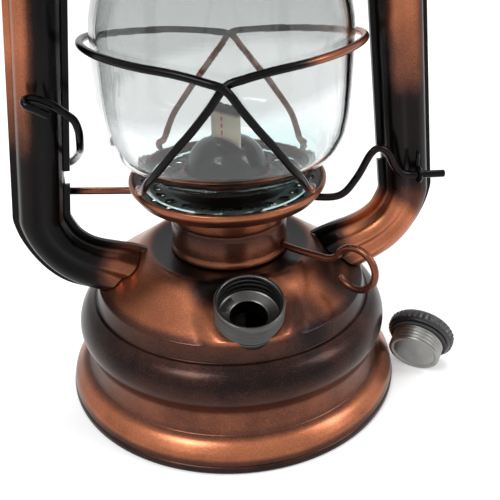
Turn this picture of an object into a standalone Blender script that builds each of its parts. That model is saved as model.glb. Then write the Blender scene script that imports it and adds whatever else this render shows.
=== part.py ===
"""Hurricane lantern: pressed tank, two side tubes, lifting globe, wick burner and wire bail.

Metres, +Z up. The origin is the centre of the tank's base, on the surface it stands on.
The side tubes lie along X, and the filler neck faces -Y.
"""

import math

import bmesh
import bpy
from mathutils import Matrix, Vector

# Fits and round counts
CLEARANCE = 0.0003
OVERRUN = 0.002
MERGE_DISTANCE = 0.00001
ROUND_STEPS = 28
SMALL_STEPS = 16
HOLE_SIDES = 12
VENT_SIDES = 6

# Tank body and bottom
FOOT_RADIUS = 0.055
FOOT_ROLL_HEIGHT = 0.003
BOTTOM_PLATE = 0.0012
BOTTOM_GROOVE_DEPTH = 0.0006
BOTTOM_GROOVE_WIDTH = 0.005
BOTTOM_RIM_WIDTH = 0.0045
CREASE_INSET = 0.006
CREASE_HEIGHT = 0.0103
WAIST_DEPTH = 0.0007
WAIST_HEIGHT = 0.0155
SHOULDER_OVERHANG = 0.0022
SHOULDER_HEIGHT = 0.024
LIP_INSET = 0.0053
LIP_HEIGHT = 0.0328
BAND_DEPTH = 0.0009
DOME_EDGE_INSET = 0.0011
DOME_EDGE_HEIGHT = 0.0378
RIDGE_RADIUS = 0.0262
RIDGE_HEIGHT = 0.0492
TROUGH_RADIUS = 0.0205
TROUGH_DEPTH = 0.0006
MOUTH_RADIUS = 0.015
TANK_WALL = 0.0008
FOOT_SHARES = ((0.1, 0.32), (0.3, 0.55), (0.65, 0.85), (1.0, 1.0))
WAIST_SHARES = ((0.05, 0.25), (0.45, 0.55), (0.85, 0.78))
SHOULDER_SHARES = ((0.06, 0.3), (0.2, 0.52), (0.5, 0.78), (1.0, 1.0))
DOME_SHARES = ((0.05, 0.02), (0.14, 0.09), (0.35, 0.31), (0.6, 0.58), (0.82, 0.81), (1.0, 1.0))

# Filler neck
NECK_TILT_DEG = 19.0
NECK_OFFSET_X = 0.0005
NECK_SEAT_SHARE = 0.665
NECK_RIM_HEIGHT = 0.0495
NECK_RADIUS = 0.0104
NECK_THREAD_DEPTH = 0.0005
NECK_THREADS = 3
NECK_THREAD_PITCH = 0.0019
NECK_OUTLET_RADIUS = 0.0056
NECK_SPIGOT_RADIUS = 0.0096
NECK_LENGTH = 0.0125

# Filler cap, lying beside the tank
PLUG_RADIUS = 0.0087
PLUG_LENGTH = 0.0066
PLUG_THREADS = 4
PLUG_THREAD_DEPTH = 0.0006
PLUG_RECESS = 0.0005
PLUG_RIM_WIDTH = 0.0012
HEAD_RADIUS = 0.0113
HEAD_THICKNESS = 0.0043
HEAD_RIBS = 36
HEAD_RIB_DEPTH = 0.0004
GASKET_THICKNESS = 0.0009
GASKET_WIDTH = 0.0013
CAP_GAP = 0.0092
CAP_BEARING_DEG = -10.6
CAP_TURN_DEG = 234.0

# Side tubes
TUBE_WIDTH = 0.0173
TUBE_HALF_DEPTH = 0.0075
TUBE_LANDING_HALF_DEPTH = 0.0088
TUBE_TOP_HALF_DEPTH = 0.0064
TUBE_WALL = 0.0006
TUBE_INNER_REACH = 0.049
TUBE_LEAN_SHARE = 0.1111
TUBE_STRAIGHT_FOOT = 0.064
TUBE_STRAIGHT_TOP = 0.178
TUBE_LANDING_INNER = 0.0252
TUBE_LANDING_OVERHANG = 0.0023
TUBE_LANDING_INNER_HEIGHT = 0.0487
TUBE_LANDING_OUTER_HEIGHT = 0.037
TUBE_END_WIDTH = 0.0135
TUBE_SECTION_SHARES = (
    (0.0, 0.0), (0.1, 0.0), (0.14, 0.52), (0.24, 0.86), (0.37, 1.0), (0.47, 0.88),
    (0.53, 0.88), (0.63, 1.0), (0.76, 0.86), (0.86, 0.52), (0.9, 0.0), (1.0, 0.0),
)
LOWER_INNER_SHARES = ((0.03, 0.16), (0.11, 0.39), (0.26, 0.59), (0.47, 0.725), (0.76, 0.83), (1.0, 1.0))
LOWER_OUTER_SHARES = ((0.035, 0.17), (0.11, 0.34), (0.23, 0.525), (0.4, 0.71), (0.65, 0.88), (1.0, 1.0))
UPPER_INNER_SHARES = ((0.06, 0.25), (0.22, 0.55), (0.54, 0.84), (1.0, 1.0))
UPPER_OUTER_SHARES = ((0.07, 0.46), (0.3, 0.81), (0.63, 0.97), (1.0, 1.0))
NOTCH_DEPTH = 0.0014
NOTCH_LOW = 0.0735
NOTCH_HIGH = 0.078

# Burner collar and burner
COLLAR_RADIUS = 0.0191
COLLAR_FOOT_RADIUS = 0.0189
COLLAR_GROOVE_RADIUS = 0.0178
COLLAR_GROOVE_HEIGHT = 0.0593
COLLAR_TOP = 0.0679
COLLAR_BORE = 0.0145
COLLAR_SEAT_RADIUS = 0.0176
BURNER_FLANGE = 0.0012
BURNER_WALL = 0.0012
BURNER_MOUTH_RADIUS = 0.0113
BURNER_FLOOR = 0.0448
CONE_RADIUS = 0.0127
CONE_TOP = 0.0855
CONE_SHOULDER = 0.075
CONE_WALL = 0.0006
CONE_SHARES = ((0.24, 0.985), (0.47, 0.91), (0.65, 0.8), (0.8, 0.62), (0.94, 0.3), (1.0, 0.0))
SLOT_WIDTH = 0.005
SLOT_SHORT_END = 0.009
SLOT_FLOOR = 0.0775

# Wick, wick tube and wick shaft, set along the burner's own line
BURNER_LINE_DEG = -48.0
WICK_WIDTH = 0.011
WICK_THICKNESS = 0.0016
WICK_TOP = 0.0955
WICK_FOOT = 0.015
TUBE_SHEET = 0.0005
WICK_TUBE_TOP = 0.0825
WICK_TUBE_FOOT = 0.043
WICK_FLANGE_LENGTH = 0.016
WICK_FLANGE_WIDTH = 0.0064
WICK_FLANGE_THICKNESS = 0.001
SHAFT_RADIUS = 0.0011
SHAFT_HEIGHT = 0.052
SHAFT_INNER_REACH = 0.0062
SHAFT_OUTER_REACH = 0.0208
WHEEL_RADIUS = 0.0035
WHEEL_TOOTH_DEPTH = 0.0006
WHEEL_TEETH = 12
WHEEL_THICKNESS = 0.0018
WHEEL_SPACING = 0.0054
KNOB_RADIUS = 0.0068
KNOB_OPEN_DEG = 35.0
KNOB_START_DEG = 160.0
KNOB_STEPS = 20

# Globe plate
PLATE_RADIUS = 0.0307
PLATE_RIM_TOP = 0.073
PLATE_FLOOR = 0.0682
PLATE_SHEET = 0.0007
PLATE_FLOOR_RADIUS = 0.0284
PLATE_STEP_RADIUS = 0.0174
PLATE_STEP_TOP = 0.0744
PLATE_HOLE_GAP = 0.0006
VENT_RADIUS = 0.0015
VENT_COUNT = 22
VENT_INNER_RING = 0.0215
VENT_OUTER_RING = 0.0253

# Globe
GLOBE_FOOT_RADIUS = 0.026
GLOBE_BELLY_RADIUS = 0.0376
GLOBE_MOUTH_RADIUS = 0.027
GLOBE_BELLY_SHARE = 0.5545
GLOBE_TOP = 0.150
GLOBE_WALL = 0.002
GLOBE_LOWER_SHARES = ((0.15, 0.12), (0.43, 0.24), (0.69, 0.33), (0.86, 0.5), (0.965, 0.7), (1.0, 0.92))
GLOBE_UPPER_SHARES = ((0.02, 0.18), (0.24, 0.46), (0.66, 0.79))

# Guard wires round the globe
GUARD_WIRE_RADIUS = 0.0011
GUARD_RADIUS = 0.0394
GUARD_SIDE_BULGE = 0.0008
GUARD_TOP = 0.1168
GUARD_REAR_TOP = 0.1058
GUARD_CROSS_STEP = 0.0027
GUARD_CROSS_SHARE = 0.36
GUARD_FRONT_DEG = 263.3
GUARD_REAR_DEG = 79.0
GUARD_A_FRONT_FOOT_DEG = 203.5
GUARD_A_REAR_FOOT_DEG = 133.3
GUARD_B_FRONT_FOOT_DEG = 317.6
GUARD_B_REAR_FOOT_DEG = 22.0
GUARD_LEG_SHARES = (
    (0.12, 0.07, 0.12), (0.25, 0.15, 0.36), (0.37, 0.25, 0.62), (0.5, 0.37, 0.82), (0.66, 0.56, 0.93),
    (0.78, 0.7, 0.98), (0.9, 0.86, 1.0),
)
GUARD_SIDE_SHARES = (
    (0.04, 0.2, 0.0, 0.6), (0.1, 0.08, 0.0, 0.1), (0.19, 0.02, 0.1, 0.0), (0.3, 0.0, 0.5, 0.0),
    (0.42, 0.05, 1.0, 0.0), (0.52, 0.16, 1.0, 0.0), (0.62, 0.35, 0.8, 0.0), (0.73, 0.55, 0.3, 0.0),
    (0.84, 0.71, 0.0, 0.05), (0.94, 0.87, 0.0, 0.6),
)

# Lift lever, one bent wire, with its eye and its clip
LEVER_WIRE_RADIUS = 0.00115
EYE_WIRE_RADIUS = 0.0006
LEVER_LEFT_REACH = 0.057
LEVER_LEFT_HEIGHT = 0.0669
LEVER_RIGHT_REACH = 0.0582
LEVER_RIGHT_HEIGHT = 0.0718
LEVER_ARC_RADIUS = 0.022
LEVER_TAIL = 0.008
LOOP_REACH = 0.0557
LOOP_HEIGHT = 0.1045
LOOP_FRONT = 0.0154
LOOP_GAP = 0.003
EYE_STEM = 0.0062
EYE_START_DEG = 145.0
EYE_SWEEP_DEG = 300.0
EYE_STEPS = 12
LEVER_ARC_START_DEG = 165.0
LEVER_ARC_SWEEP_DEG = 180.0
LEVER_ARC_STEPS = 8
LOOP_SHARES = (
    (2.7, 0.0, -1.8), (2.1, 0.0, -1.4), (1.0, 0.0, -0.72), (0.2, 0.05, -0.3), (-0.1, 0.5, 0.0),
    (0.3, 0.97, 0.15), (1.2, 1.0, 0.02), (2.3, 1.0, -0.45), (3.35, 1.0, -1.12), (4.4, 1.0, -2.04),
)
LEVER_DOWN_SHARES = (
    (0.893, 1.0, 0.18), (0.876, 0.95, 0.27), (0.88, 0.77, 0.37), (0.89, 0.42, 0.48), (0.911, -0.2, 0.59),
    (0.945, -0.72, 0.7), (0.99, -0.95, 0.765),
)
LEVER_COIL_SHARES = ((2.6, 1.2, 0.775), (0.8, 1.7, 0.82), (-0.9, 1.5, 0.88), (-1.6, 0.8, 0.96))
LEVER_RIGHT_SHARES = (
    (0.545, 0.92, 0.0), (0.7, 0.96, 0.04), (0.8, 0.97, 1.1), (0.885, 0.97, 2.6), (0.945, 0.97, 2.9),
    (1.0, 0.97, 2.5), (1.04, 0.97, 1.75), (1.09, 0.98, 1.2),
)

# Hood, chimney and air chamber
CROWN_RADIUS = 0.030
CROWN_FLARE = 0.001
CROWN_FOOT = 0.1452
CROWN_SHOULDER = 0.1585
CROWN_TOP = 0.172
CROWN_SHEET = 0.0008
CROWN_LEDGE_RADIUS = 0.0246
CROWN_VENT_RADIUS = 0.0021
CROWN_VENT_COUNT = 10
CHIMNEY_RADIUS = 0.0155
CHIMNEY_WALL = 0.0008
CHIMNEY_TOP = 0.209
CHIMNEY_VENT_COUNT = 8
CHIMNEY_VENT_WIDTH = 0.0034
CHIMNEY_VENT_HEIGHT = 0.0038
CHIMNEY_VENT_DROP = 0.0012
RAIN_CAP_RADIUS = 0.024
RAIN_CAP_RISE = 0.009
RAIN_CAP_SKIRT = 0.0022
RAIN_CAP_SHEET = 0.0009
RING_RADIUS = 0.0078
RING_WIRE_RADIUS = 0.001
RING_FOOT_SPREAD = 0.0028
RING_START_DEG = 235.0
RING_SWEEP_DEG = 290.0
RING_STEPS = 16
CHAMBER_RADIUS = 0.034
CHAMBER_FOOT = 0.182
CHAMBER_TOP = 0.202
CHAMBER_SHEET = 0.0008
CHAMBER_BORE = 0.0175
CHAMBER_BEAD = 0.0006
CHAMBER_CORNER = 0.003
PORT_WIDTH = 0.009
PORT_HEIGHT = 0.007
SPRING_RADIUS = 0.0187
SPRING_WIRE_RADIUS = 0.0006
SPRING_TURNS = 4
SPRING_TURN_STEPS = 10

# Bail and its ears
BAIL_WIRE_RADIUS = 0.00125
BAIL_HEIGHT = 0.190
BAIL_LENGTH = 0.072
BAIL_ARM_SHARE = 0.3
BAIL_BEND = 0.003
BAIL_STORED_DEG = 34.0
BAIL_PIN_OVERHANG = 0.0005
BAIL_ARCH_STEPS = 22
EAR_RADIUS = 0.0034
EAR_LENGTH = 0.0026
EAR_FLANGE_RADIUS = 0.0046
EAR_FLANGE_THICKNESS = 0.001

# Materials: colour, roughness and metallic value
FINISHES = {
    "copper": ((0.42, 0.14, 0.06), 0.32, 1.0),
    "dark_copper": ((0.06, 0.035, 0.03), 0.35, 0.9),
    "zinc": ((0.36, 0.36, 0.36), 0.35, 1.0),
    "black_enamel": ((0.012, 0.012, 0.013), 0.25, 0.2),
    "glass": ((0.75, 0.86, 0.85), 0.03, 0.0),
    "cotton": ((0.72, 0.66, 0.52), 0.9, 0.0),
    "black_plastic": ((0.015, 0.015, 0.016), 0.45, 0.0),
    "rubber": ((0.03, 0.03, 0.03), 0.7, 0.0),
    "steel": ((0.45, 0.45, 0.45), 0.35, 1.0),
}


# Scene and collections

def clear_scene():
    for item in list(bpy.data.objects):
        bpy.data.objects.remove(item, do_unlink=True)


def new_collection(name):
    collection = bpy.data.collections.new(name)
    bpy.context.scene.collection.children.link(collection)
    return collection


def new_material(node_name, finish):
    colour, roughness, metallic = FINISHES[finish]
    material = bpy.data.materials.new(node_name + " " + finish)
    material.use_nodes = True
    shader = material.node_tree.nodes["Principled BSDF"]
    shader.inputs["Base Color"].default_value = (*colour, 1.0)
    shader.inputs["Roughness"].default_value = roughness
    shader.inputs["Metallic"].default_value = metallic
    material.diffuse_color = (*colour, 1.0)
    return material


clear_scene()
PARTS = new_collection("Hurricane lantern")
CUTTERS = new_collection("Hurricane lantern cutters")


def add_part(name, data, finish, parent=None, place=None):
    """Link one named piece, with its place given in its parent's own frame."""
    part = bpy.data.objects.new(name, data)
    PARTS.objects.link(part)
    part.data.materials.append(new_material(name, finish))
    if parent is not None:
        part.parent = parent
    if place is not None:
        part.matrix_local = place
    return part


def add_cutter(name, data, parent=None, place=None):
    cutter = bpy.data.objects.new(name, data)
    CUTTERS.objects.link(cutter)
    cutter.hide_render = True
    cutter.display_type = "WIRE"
    if parent is not None:
        cutter.parent = parent
    if place is not None:
        cutter.matrix_local = place
    return cutter


def add_joint_frame(name, place, parent=None):
    """An empty on a joint's axis that carries the pieces which move with it."""
    frame = bpy.data.objects.new(name, None)
    PARTS.objects.link(frame)
    frame.empty_display_size = FOOT_RADIUS
    if parent is not None:
        frame.parent = parent
    frame.matrix_local = place
    return frame


# Shapes

def along(start, end, shares):
    """Points between two corners, where each share pair is the way gone across and up."""
    points = []
    for across, up in shares:
        points.append((start[0] + (end[0] - start[0]) * across, start[1] + (end[1] - start[1]) * up))
    return points


def profile_mesh(name, profile, closed):
    edges = [(index, index + 1) for index in range(len(profile) - 1)]
    if closed:
        edges.append((len(profile) - 1, 0))
    mesh = bpy.data.meshes.new(name)
    mesh.from_pydata([(radius, 0.0, height) for radius, height in profile], edges, [])
    return mesh


def turn(item, steps):
    screw = item.modifiers.new("Turn", "SCREW")
    screw.steps = steps
    screw.render_steps = steps
    screw.use_merge_vertices = True
    screw.merge_threshold = MERGE_DISTANCE
    screw.use_smooth_shade = True
    weld = item.modifiers.new("Weld poles", "WELD")
    weld.merge_threshold = MERGE_DISTANCE


def turned(name, profile, finish, steps=ROUND_STEPS, closed=True, parent=None, place=None):
    part = add_part(name, profile_mesh(name, profile, closed), finish, parent, place)
    turn(part, steps)
    return part


def turned_cutter(name, profile, steps=ROUND_STEPS, parent=None, place=None):
    cutter = add_cutter(name, profile_mesh(name, profile, False), parent, place)
    turn(cutter, steps)
    return cutter


def block_mesh(name, boxes):
    """One mesh of boxes, each given by its lowest and highest corner."""
    mesh = bpy.data.meshes.new(name)
    shape = bmesh.new()
    for low, high in boxes:
        low = Vector(low)
        high = Vector(high)
        size = high - low
        place = Matrix.Translation((low + high) / 2) @ Matrix.Diagonal((*size, 1.0))
        bmesh.ops.create_cube(shape, size=1.0, matrix=place)
    shape.to_mesh(mesh)
    shape.free()
    return mesh


def rod_mesh(name, rods, sides):
    """One mesh of straight rods, each given by its two ends and its radius."""
    mesh = bpy.data.meshes.new(name)
    shape = bmesh.new()
    for start, end, radius in rods:
        start = Vector(start)
        run = Vector(end) - start
        turn_to_run = Vector((0.0, 0.0, 1.0)).rotation_difference(run).to_matrix().to_4x4()
        place = Matrix.Translation(start + run / 2) @ turn_to_run
        bmesh.ops.create_cone(
            shape, cap_ends=True, segments=sides, radius1=radius, radius2=radius,
            depth=run.length, matrix=place,
        )
    shape.to_mesh(mesh)
    shape.free()
    return mesh


def cut(part, cutter, operation="DIFFERENCE"):
    boolean = part.modifiers.new(operation.title(), "BOOLEAN")
    boolean.operation = operation
    boolean.solver = "EXACT"
    boolean.object = cutter


def smooth_route(points, step):
    """Points along one smooth curve through the given ones."""
    places = [Vector(point) for point in points]
    before = places[0] * 2 - places[1]
    after = places[-1] * 2 - places[-2]
    places = [before] + places + [after]
    route = [places[1]]
    for index in range(1, len(places) - 2):
        first, start, end, last = places[index - 1:index + 3]
        pieces = max(1, math.ceil((end - start).length / step))
        for piece in range(1, pieces + 1):
            t = piece / pieces
            route.append(
                (start * 2 + (end - first) * t + (first * 2 - start * 5 + end * 4 - last) * t ** 2
                 + (start * 3 - first - end * 3 + last) * t ** 3) / 2
            )
    return route


def wire_curve(name, points, radius, resolution=2, cyclic=False):
    curve = bpy.data.curves.new(name, "CURVE")
    curve.dimensions = "3D"
    curve.bevel_depth = radius
    curve.bevel_resolution = resolution
    curve.use_fill_caps = True
    spline = curve.splines.new("POLY")
    spline.points.add(len(points) - 1)
    for point, place in zip(spline.points, points):
        point.co = (*place, 1.0)
    spline.use_cyclic_u = cyclic
    return curve


def outline_curve(name, outlines, thickness):
    """A flat plate: the first outline is its edge, and any others are holes in it."""
    curve = bpy.data.curves.new(name, "CURVE")
    curve.dimensions = "2D"
    curve.fill_mode = "BOTH"
    curve.extrude = thickness / 2
    for outline in outlines:
        spline = curve.splines.new("POLY")
        spline.points.add(len(outline) - 1)
        for point, place in zip(spline.points, outline):
            point.co = (place[0], place[1], 0.0, 1.0)
        spline.use_cyclic_u = True
    return curve


def ring_points(radius, count, centre=(0.0, 0.0)):
    points = []
    for index in range(count):
        angle = math.tau * index / count
        points.append((centre[0] + radius * math.cos(angle), centre[1] + radius * math.sin(angle)))
    return points


def toothed_points(radius, depth, teeth):
    points = []
    for index in range(teeth * 2):
        angle = math.pi * index / teeth
        reach = radius if index % 2 == 0 else radius - depth
        points.append((reach * math.cos(angle), reach * math.sin(angle)))
    return points


def polar(radius, degrees, height):
    angle = math.radians(degrees)
    return Vector((radius * math.cos(angle), radius * math.sin(angle), height))


# Radii and frames that several pieces share

BOTTOM_GROOVE_OUTER = FOOT_RADIUS - BOTTOM_RIM_WIDTH
BOTTOM_GROOVE_INNER = BOTTOM_GROOVE_OUTER - BOTTOM_GROOVE_WIDTH
CREASE_RADIUS = FOOT_RADIUS - CREASE_INSET
WAIST_RADIUS = CREASE_RADIUS - WAIST_DEPTH
SHOULDER_RADIUS = WAIST_RADIUS + SHOULDER_OVERHANG
LIP_RADIUS = SHOULDER_RADIUS - LIP_INSET
BAND_RADIUS = LIP_RADIUS - BAND_DEPTH
DOME_EDGE_RADIUS = BAND_RADIUS - DOME_EDGE_INSET
NECK_REACH = RIDGE_RADIUS + (DOME_EDGE_RADIUS - RIDGE_RADIUS) * NECK_SEAT_SHARE
NECK_AXIS_FRAME = (
    Matrix.Translation((NECK_OFFSET_X, -NECK_REACH, NECK_RIM_HEIGHT))
    @ Matrix.Rotation(math.radians(NECK_TILT_DEG), 4, "X")
)
BURNER_FRAME = Matrix.Rotation(math.radians(BURNER_LINE_DEG), 4, "Z")
SHAFT_OFFSET = WICK_THICKNESS / 2 + CLEARANCE + WHEEL_RADIUS
TROUGH_HEIGHT = RIDGE_HEIGHT - TROUGH_DEPTH
CHAMBER_UNDERSIDE = CHAMBER_TOP - CHAMBER_SHEET
COLLAR_FOOT = TROUGH_HEIGHT + CLEARANCE
BURNER_TOP = COLLAR_TOP - CLEARANCE
BURNER_RADIUS = COLLAR_BORE - CLEARANCE * 2


# Tank

def tank_outline(grow=0.0):
    """The tank's outer side from the dome's mouth down to the foot, grown outwards if asked."""
    seam_height = FOOT_ROLL_HEIGHT + CLEARANCE
    foot = (FOOT_RADIUS - CLEARANCE, seam_height)
    points = [
        (TROUGH_RADIUS, TROUGH_HEIGHT),
        ((TROUGH_RADIUS + RIDGE_RADIUS) / 2, RIDGE_HEIGHT - TROUGH_DEPTH / 2),
        (RIDGE_RADIUS, RIDGE_HEIGHT),
    ]
    points += along((RIDGE_RADIUS, RIDGE_HEIGHT), (DOME_EDGE_RADIUS, DOME_EDGE_HEIGHT), DOME_SHARES)
    points.append((BAND_RADIUS, LIP_HEIGHT))
    shoulder = along((SHOULDER_RADIUS, SHOULDER_HEIGHT), (LIP_RADIUS, LIP_HEIGHT), SHOULDER_SHARES)
    points += reversed(shoulder)
    points.append((SHOULDER_RADIUS, SHOULDER_HEIGHT))
    waist = along((WAIST_RADIUS, WAIST_HEIGHT), (SHOULDER_RADIUS, SHOULDER_HEIGHT), WAIST_SHARES)
    points += reversed(waist)
    points.append((WAIST_RADIUS, WAIST_HEIGHT))
    flank = along(foot, (CREASE_RADIUS, CREASE_HEIGHT), FOOT_SHARES)
    points += reversed(flank)
    points.append(foot)
    return [(radius + grow, height + grow) for radius, height in points]


def make_tank():
    outer = [(MOUTH_RADIUS, TROUGH_HEIGHT)] + tank_outline()
    wall = TANK_WALL
    seam_height = FOOT_ROLL_HEIGHT + CLEARANCE
    dome_inside = along(
        (RIDGE_RADIUS - wall, RIDGE_HEIGHT - wall),
        (DOME_EDGE_RADIUS - wall, DOME_EDGE_HEIGHT - wall),
        DOME_SHARES[2:5],
    )
    inner = [
        (FOOT_RADIUS - CLEARANCE - wall, seam_height),
        (CREASE_RADIUS - wall, CREASE_HEIGHT - wall / 2),
        (WAIST_RADIUS - wall, WAIST_HEIGHT),
        (SHOULDER_RADIUS - wall, SHOULDER_HEIGHT),
        (LIP_RADIUS - wall, LIP_HEIGHT - wall * 2),
        (BAND_RADIUS - wall * 2, LIP_HEIGHT),
        (DOME_EDGE_RADIUS - wall, DOME_EDGE_HEIGHT - wall),
    ]
    inner += reversed(dome_inside)
    inner += [(RIDGE_RADIUS - wall, RIDGE_HEIGHT - wall), (MOUTH_RADIUS, TROUGH_HEIGHT - wall)]
    body = turned("tank_body", outer + inner, "copper")
    spigot_hole = add_cutter(
        "spigot_hole_cutter",
        rod_mesh(
            "spigot_hole_cutter",
            [((0, 0, -NECK_RIM_HEIGHT / 2), (0, 0, 0), NECK_SPIGOT_RADIUS + CLEARANCE)],
            SMALL_STEPS,
        ),
        place=NECK_AXIS_FRAME,
    )
    cut(body, spigot_hole)

    roll = FOOT_ROLL_HEIGHT
    groove = BOTTOM_GROOVE_DEPTH
    bottom = [
        (0.0, BOTTOM_PLATE),
        (BOTTOM_GROOVE_OUTER - roll / 2, BOTTOM_PLATE),
        (BOTTOM_GROOVE_OUTER + roll / 4, roll),
        (FOOT_RADIUS - roll / 4, roll),
        (FOOT_RADIUS, roll * 3 / 4),
        (FOOT_RADIUS, roll / 4),
        (FOOT_RADIUS - roll / 4, 0.0),
        (BOTTOM_GROOVE_OUTER, 0.0),
        (BOTTOM_GROOVE_OUTER - groove, groove),
        (BOTTOM_GROOVE_INNER + groove, groove),
        (BOTTOM_GROOVE_INNER, 0.0),
        (0.0, 0.0),
    ]
    turned("tank_bottom", bottom, "dark_copper", closed=False)


def make_dome_cutter():
    """A solid the shape of the tank's top, one clearance larger, that trims what lands on it."""
    outline = tank_outline(CLEARANCE)
    points = [(0.0, outline[0][1])] + outline
    points = [point for point in points if point[1] > WAIST_HEIGHT]
    points.append((WAIST_RADIUS, WAIST_HEIGHT))
    points.append((0.0, WAIST_HEIGHT))
    return turned_cutter("dome_cutter", points)


def thread_points(outer, depth, first_height, pitch, count):
    """The zigzag of a rolled thread, from its upper end down."""
    points = []
    for index in range(count):
        top = first_height - pitch * index
        points.append((outer - depth, top))
        points.append((outer, top - pitch / 4))
        points.append((outer, top - pitch / 2))
        points.append((outer - depth, top - pitch * 3 / 4))
    return points


def make_neck(dome_cutter):
    bore = PLUG_RADIUS + CLEARANCE
    seat = -(PLUG_LENGTH + CLEARANCE * 2)
    rim = NECK_THREAD_PITCH / 2
    profile = [(NECK_RADIUS - NECK_THREAD_DEPTH, 0.0), (NECK_RADIUS, -rim / 2)]
    profile += thread_points(NECK_RADIUS, NECK_THREAD_DEPTH, -rim, NECK_THREAD_PITCH, NECK_THREADS)
    profile += [
        (NECK_RADIUS, seat),
        (NECK_RADIUS, -NECK_LENGTH),
        (NECK_OUTLET_RADIUS, -NECK_LENGTH),
        (NECK_OUTLET_RADIUS, seat),
        (bore, seat + rim / 2),
        (bore, 0.0),
    ]
    neck = turned("filler_neck", profile, "zinc", SMALL_STEPS, place=NECK_AXIS_FRAME)
    core = add_cutter(
        "spigot_core",
        rod_mesh(
            "spigot_core",
            [((0, 0, -NECK_LENGTH - OVERRUN), (0, 0, NECK_LENGTH), NECK_SPIGOT_RADIUS)],
            SMALL_STEPS,
        ),
        place=NECK_AXIS_FRAME,
    )
    base_cutter = add_cutter("neck_base_cutter", dome_cutter.data.copy())
    turn(base_cutter, ROUND_STEPS)
    cut(base_cutter, core)
    cut(neck, base_cutter)


# Filler cap

def make_filler_cap():
    tilt = math.atan2(HEAD_RADIUS - PLUG_RADIUS, PLUG_LENGTH)
    reach = FOOT_RADIUS + CAP_GAP
    place = (
        Matrix.Translation(polar(reach, CAP_BEARING_DEG, HEAD_RADIUS * math.cos(tilt)))
        @ Matrix.Rotation(math.radians(CAP_TURN_DEG), 4, "Z")
        @ Matrix.Rotation(-math.pi / 2 + tilt, 4, "Y")
    )
    cap = add_joint_frame("filler_cap_frame", place)

    add_part(
        "cap_head",
        outline_curve(
            "cap_head", [toothed_points(HEAD_RADIUS, HEAD_RIB_DEPTH, HEAD_RIBS)], HEAD_THICKNESS
        ),
        "black_plastic", cap, Matrix.Translation((0, 0, HEAD_THICKNESS / 2)),
    )

    top = -CLEARANCE
    pitch = (PLUG_LENGTH - GASKET_THICKNESS - CLEARANCE * 2) / (PLUG_THREADS + 1 / 4)
    profile = [(0.0, top), (PLUG_RADIUS - PLUG_THREAD_DEPTH, top)]
    profile += thread_points(
        PLUG_RADIUS, PLUG_THREAD_DEPTH, top - GASKET_THICKNESS - CLEARANCE, pitch, PLUG_THREADS
    )
    profile += [
        (PLUG_RADIUS, -PLUG_LENGTH),
        (PLUG_RADIUS - PLUG_RIM_WIDTH, -PLUG_LENGTH),
        (PLUG_RADIUS - PLUG_RIM_WIDTH - PLUG_RECESS, -PLUG_LENGTH + PLUG_RECESS),
        (0.0, -PLUG_LENGTH + PLUG_RECESS),
    ]
    turned("cap_plug", profile, "zinc", SMALL_STEPS, closed=False, parent=cap)

    inner = PLUG_RADIUS - PLUG_THREAD_DEPTH + CLEARANCE
    outer = inner + GASKET_WIDTH
    gasket = [(outer, top), (outer, top - GASKET_THICKNESS), (inner, top - GASKET_THICKNESS), (inner, top)]
    turned("cap_gasket", gasket, "rubber", SMALL_STEPS, parent=cap)


# Side tubes

def tube_line(height):
    """Inner and outer edge of a side tube's straight run at one height."""
    inner = TUBE_INNER_REACH - (height - TUBE_STRAIGHT_FOOT) * TUBE_LEAN_SHARE
    return inner, inner + TUBE_WIDTH


def tube_rings():
    """Rings of a side tube from the air chamber down to the dome: inner edge, outer edge, half depth."""
    rings = []
    top_inner, top_outer = tube_line(TUBE_STRAIGHT_TOP)
    foot_inner, foot_outer = tube_line(TUBE_STRAIGHT_FOOT)
    end_reach = CHAMBER_RADIUS - CHAMBER_SHEET
    end_top = CHAMBER_TOP - CHAMBER_CORNER
    upper_inner = along(
        (top_inner, TUBE_STRAIGHT_TOP), (end_reach, end_top - TUBE_END_WIDTH), UPPER_INNER_SHARES
    )
    upper_outer = along((top_outer, TUBE_STRAIGHT_TOP), (end_reach, end_top), UPPER_OUTER_SHARES)
    count = len(upper_inner)
    for index in reversed(range(count)):
        share = (index + 1) / count
        depth = TUBE_HALF_DEPTH + (TUBE_TOP_HALF_DEPTH - TUBE_HALF_DEPTH) * share
        rings.append((upper_inner[index], upper_outer[index], depth))
    rings.append(((top_inner, TUBE_STRAIGHT_TOP), (top_outer, TUBE_STRAIGHT_TOP), TUBE_HALF_DEPTH))
    rings.append(((foot_inner, TUBE_STRAIGHT_FOOT), (foot_outer, TUBE_STRAIGHT_FOOT), TUBE_HALF_DEPTH))
    lower_inner = along(
        (foot_inner, TUBE_STRAIGHT_FOOT),
        (TUBE_LANDING_INNER, TUBE_LANDING_INNER_HEIGHT),
        LOWER_INNER_SHARES,
    )
    lower_outer = along(
        (foot_outer, TUBE_STRAIGHT_FOOT),
        (DOME_EDGE_RADIUS + TUBE_LANDING_OVERHANG, TUBE_LANDING_OUTER_HEIGHT),
        LOWER_OUTER_SHARES,
    )
    count = len(lower_inner)
    for index in range(count):
        share = ((index + 1) / count) ** 2
        depth = TUBE_HALF_DEPTH + (TUBE_LANDING_HALF_DEPTH - TUBE_HALF_DEPTH) * share
        rings.append((lower_inner[index], lower_outer[index], depth))
    return rings


def tube_outer_reach(height):
    """How far out a side tube's outer edge lies at one height above its straight foot."""
    edges = [ring[1] for ring in tube_rings()]
    for upper, lower in zip(edges, edges[1:]):
        if lower[1] <= height <= upper[1]:
            share = (height - lower[1]) / (upper[1] - lower[1])
            return lower[0] + (upper[0] - lower[0]) * share
    return edges[0][0]


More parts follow.
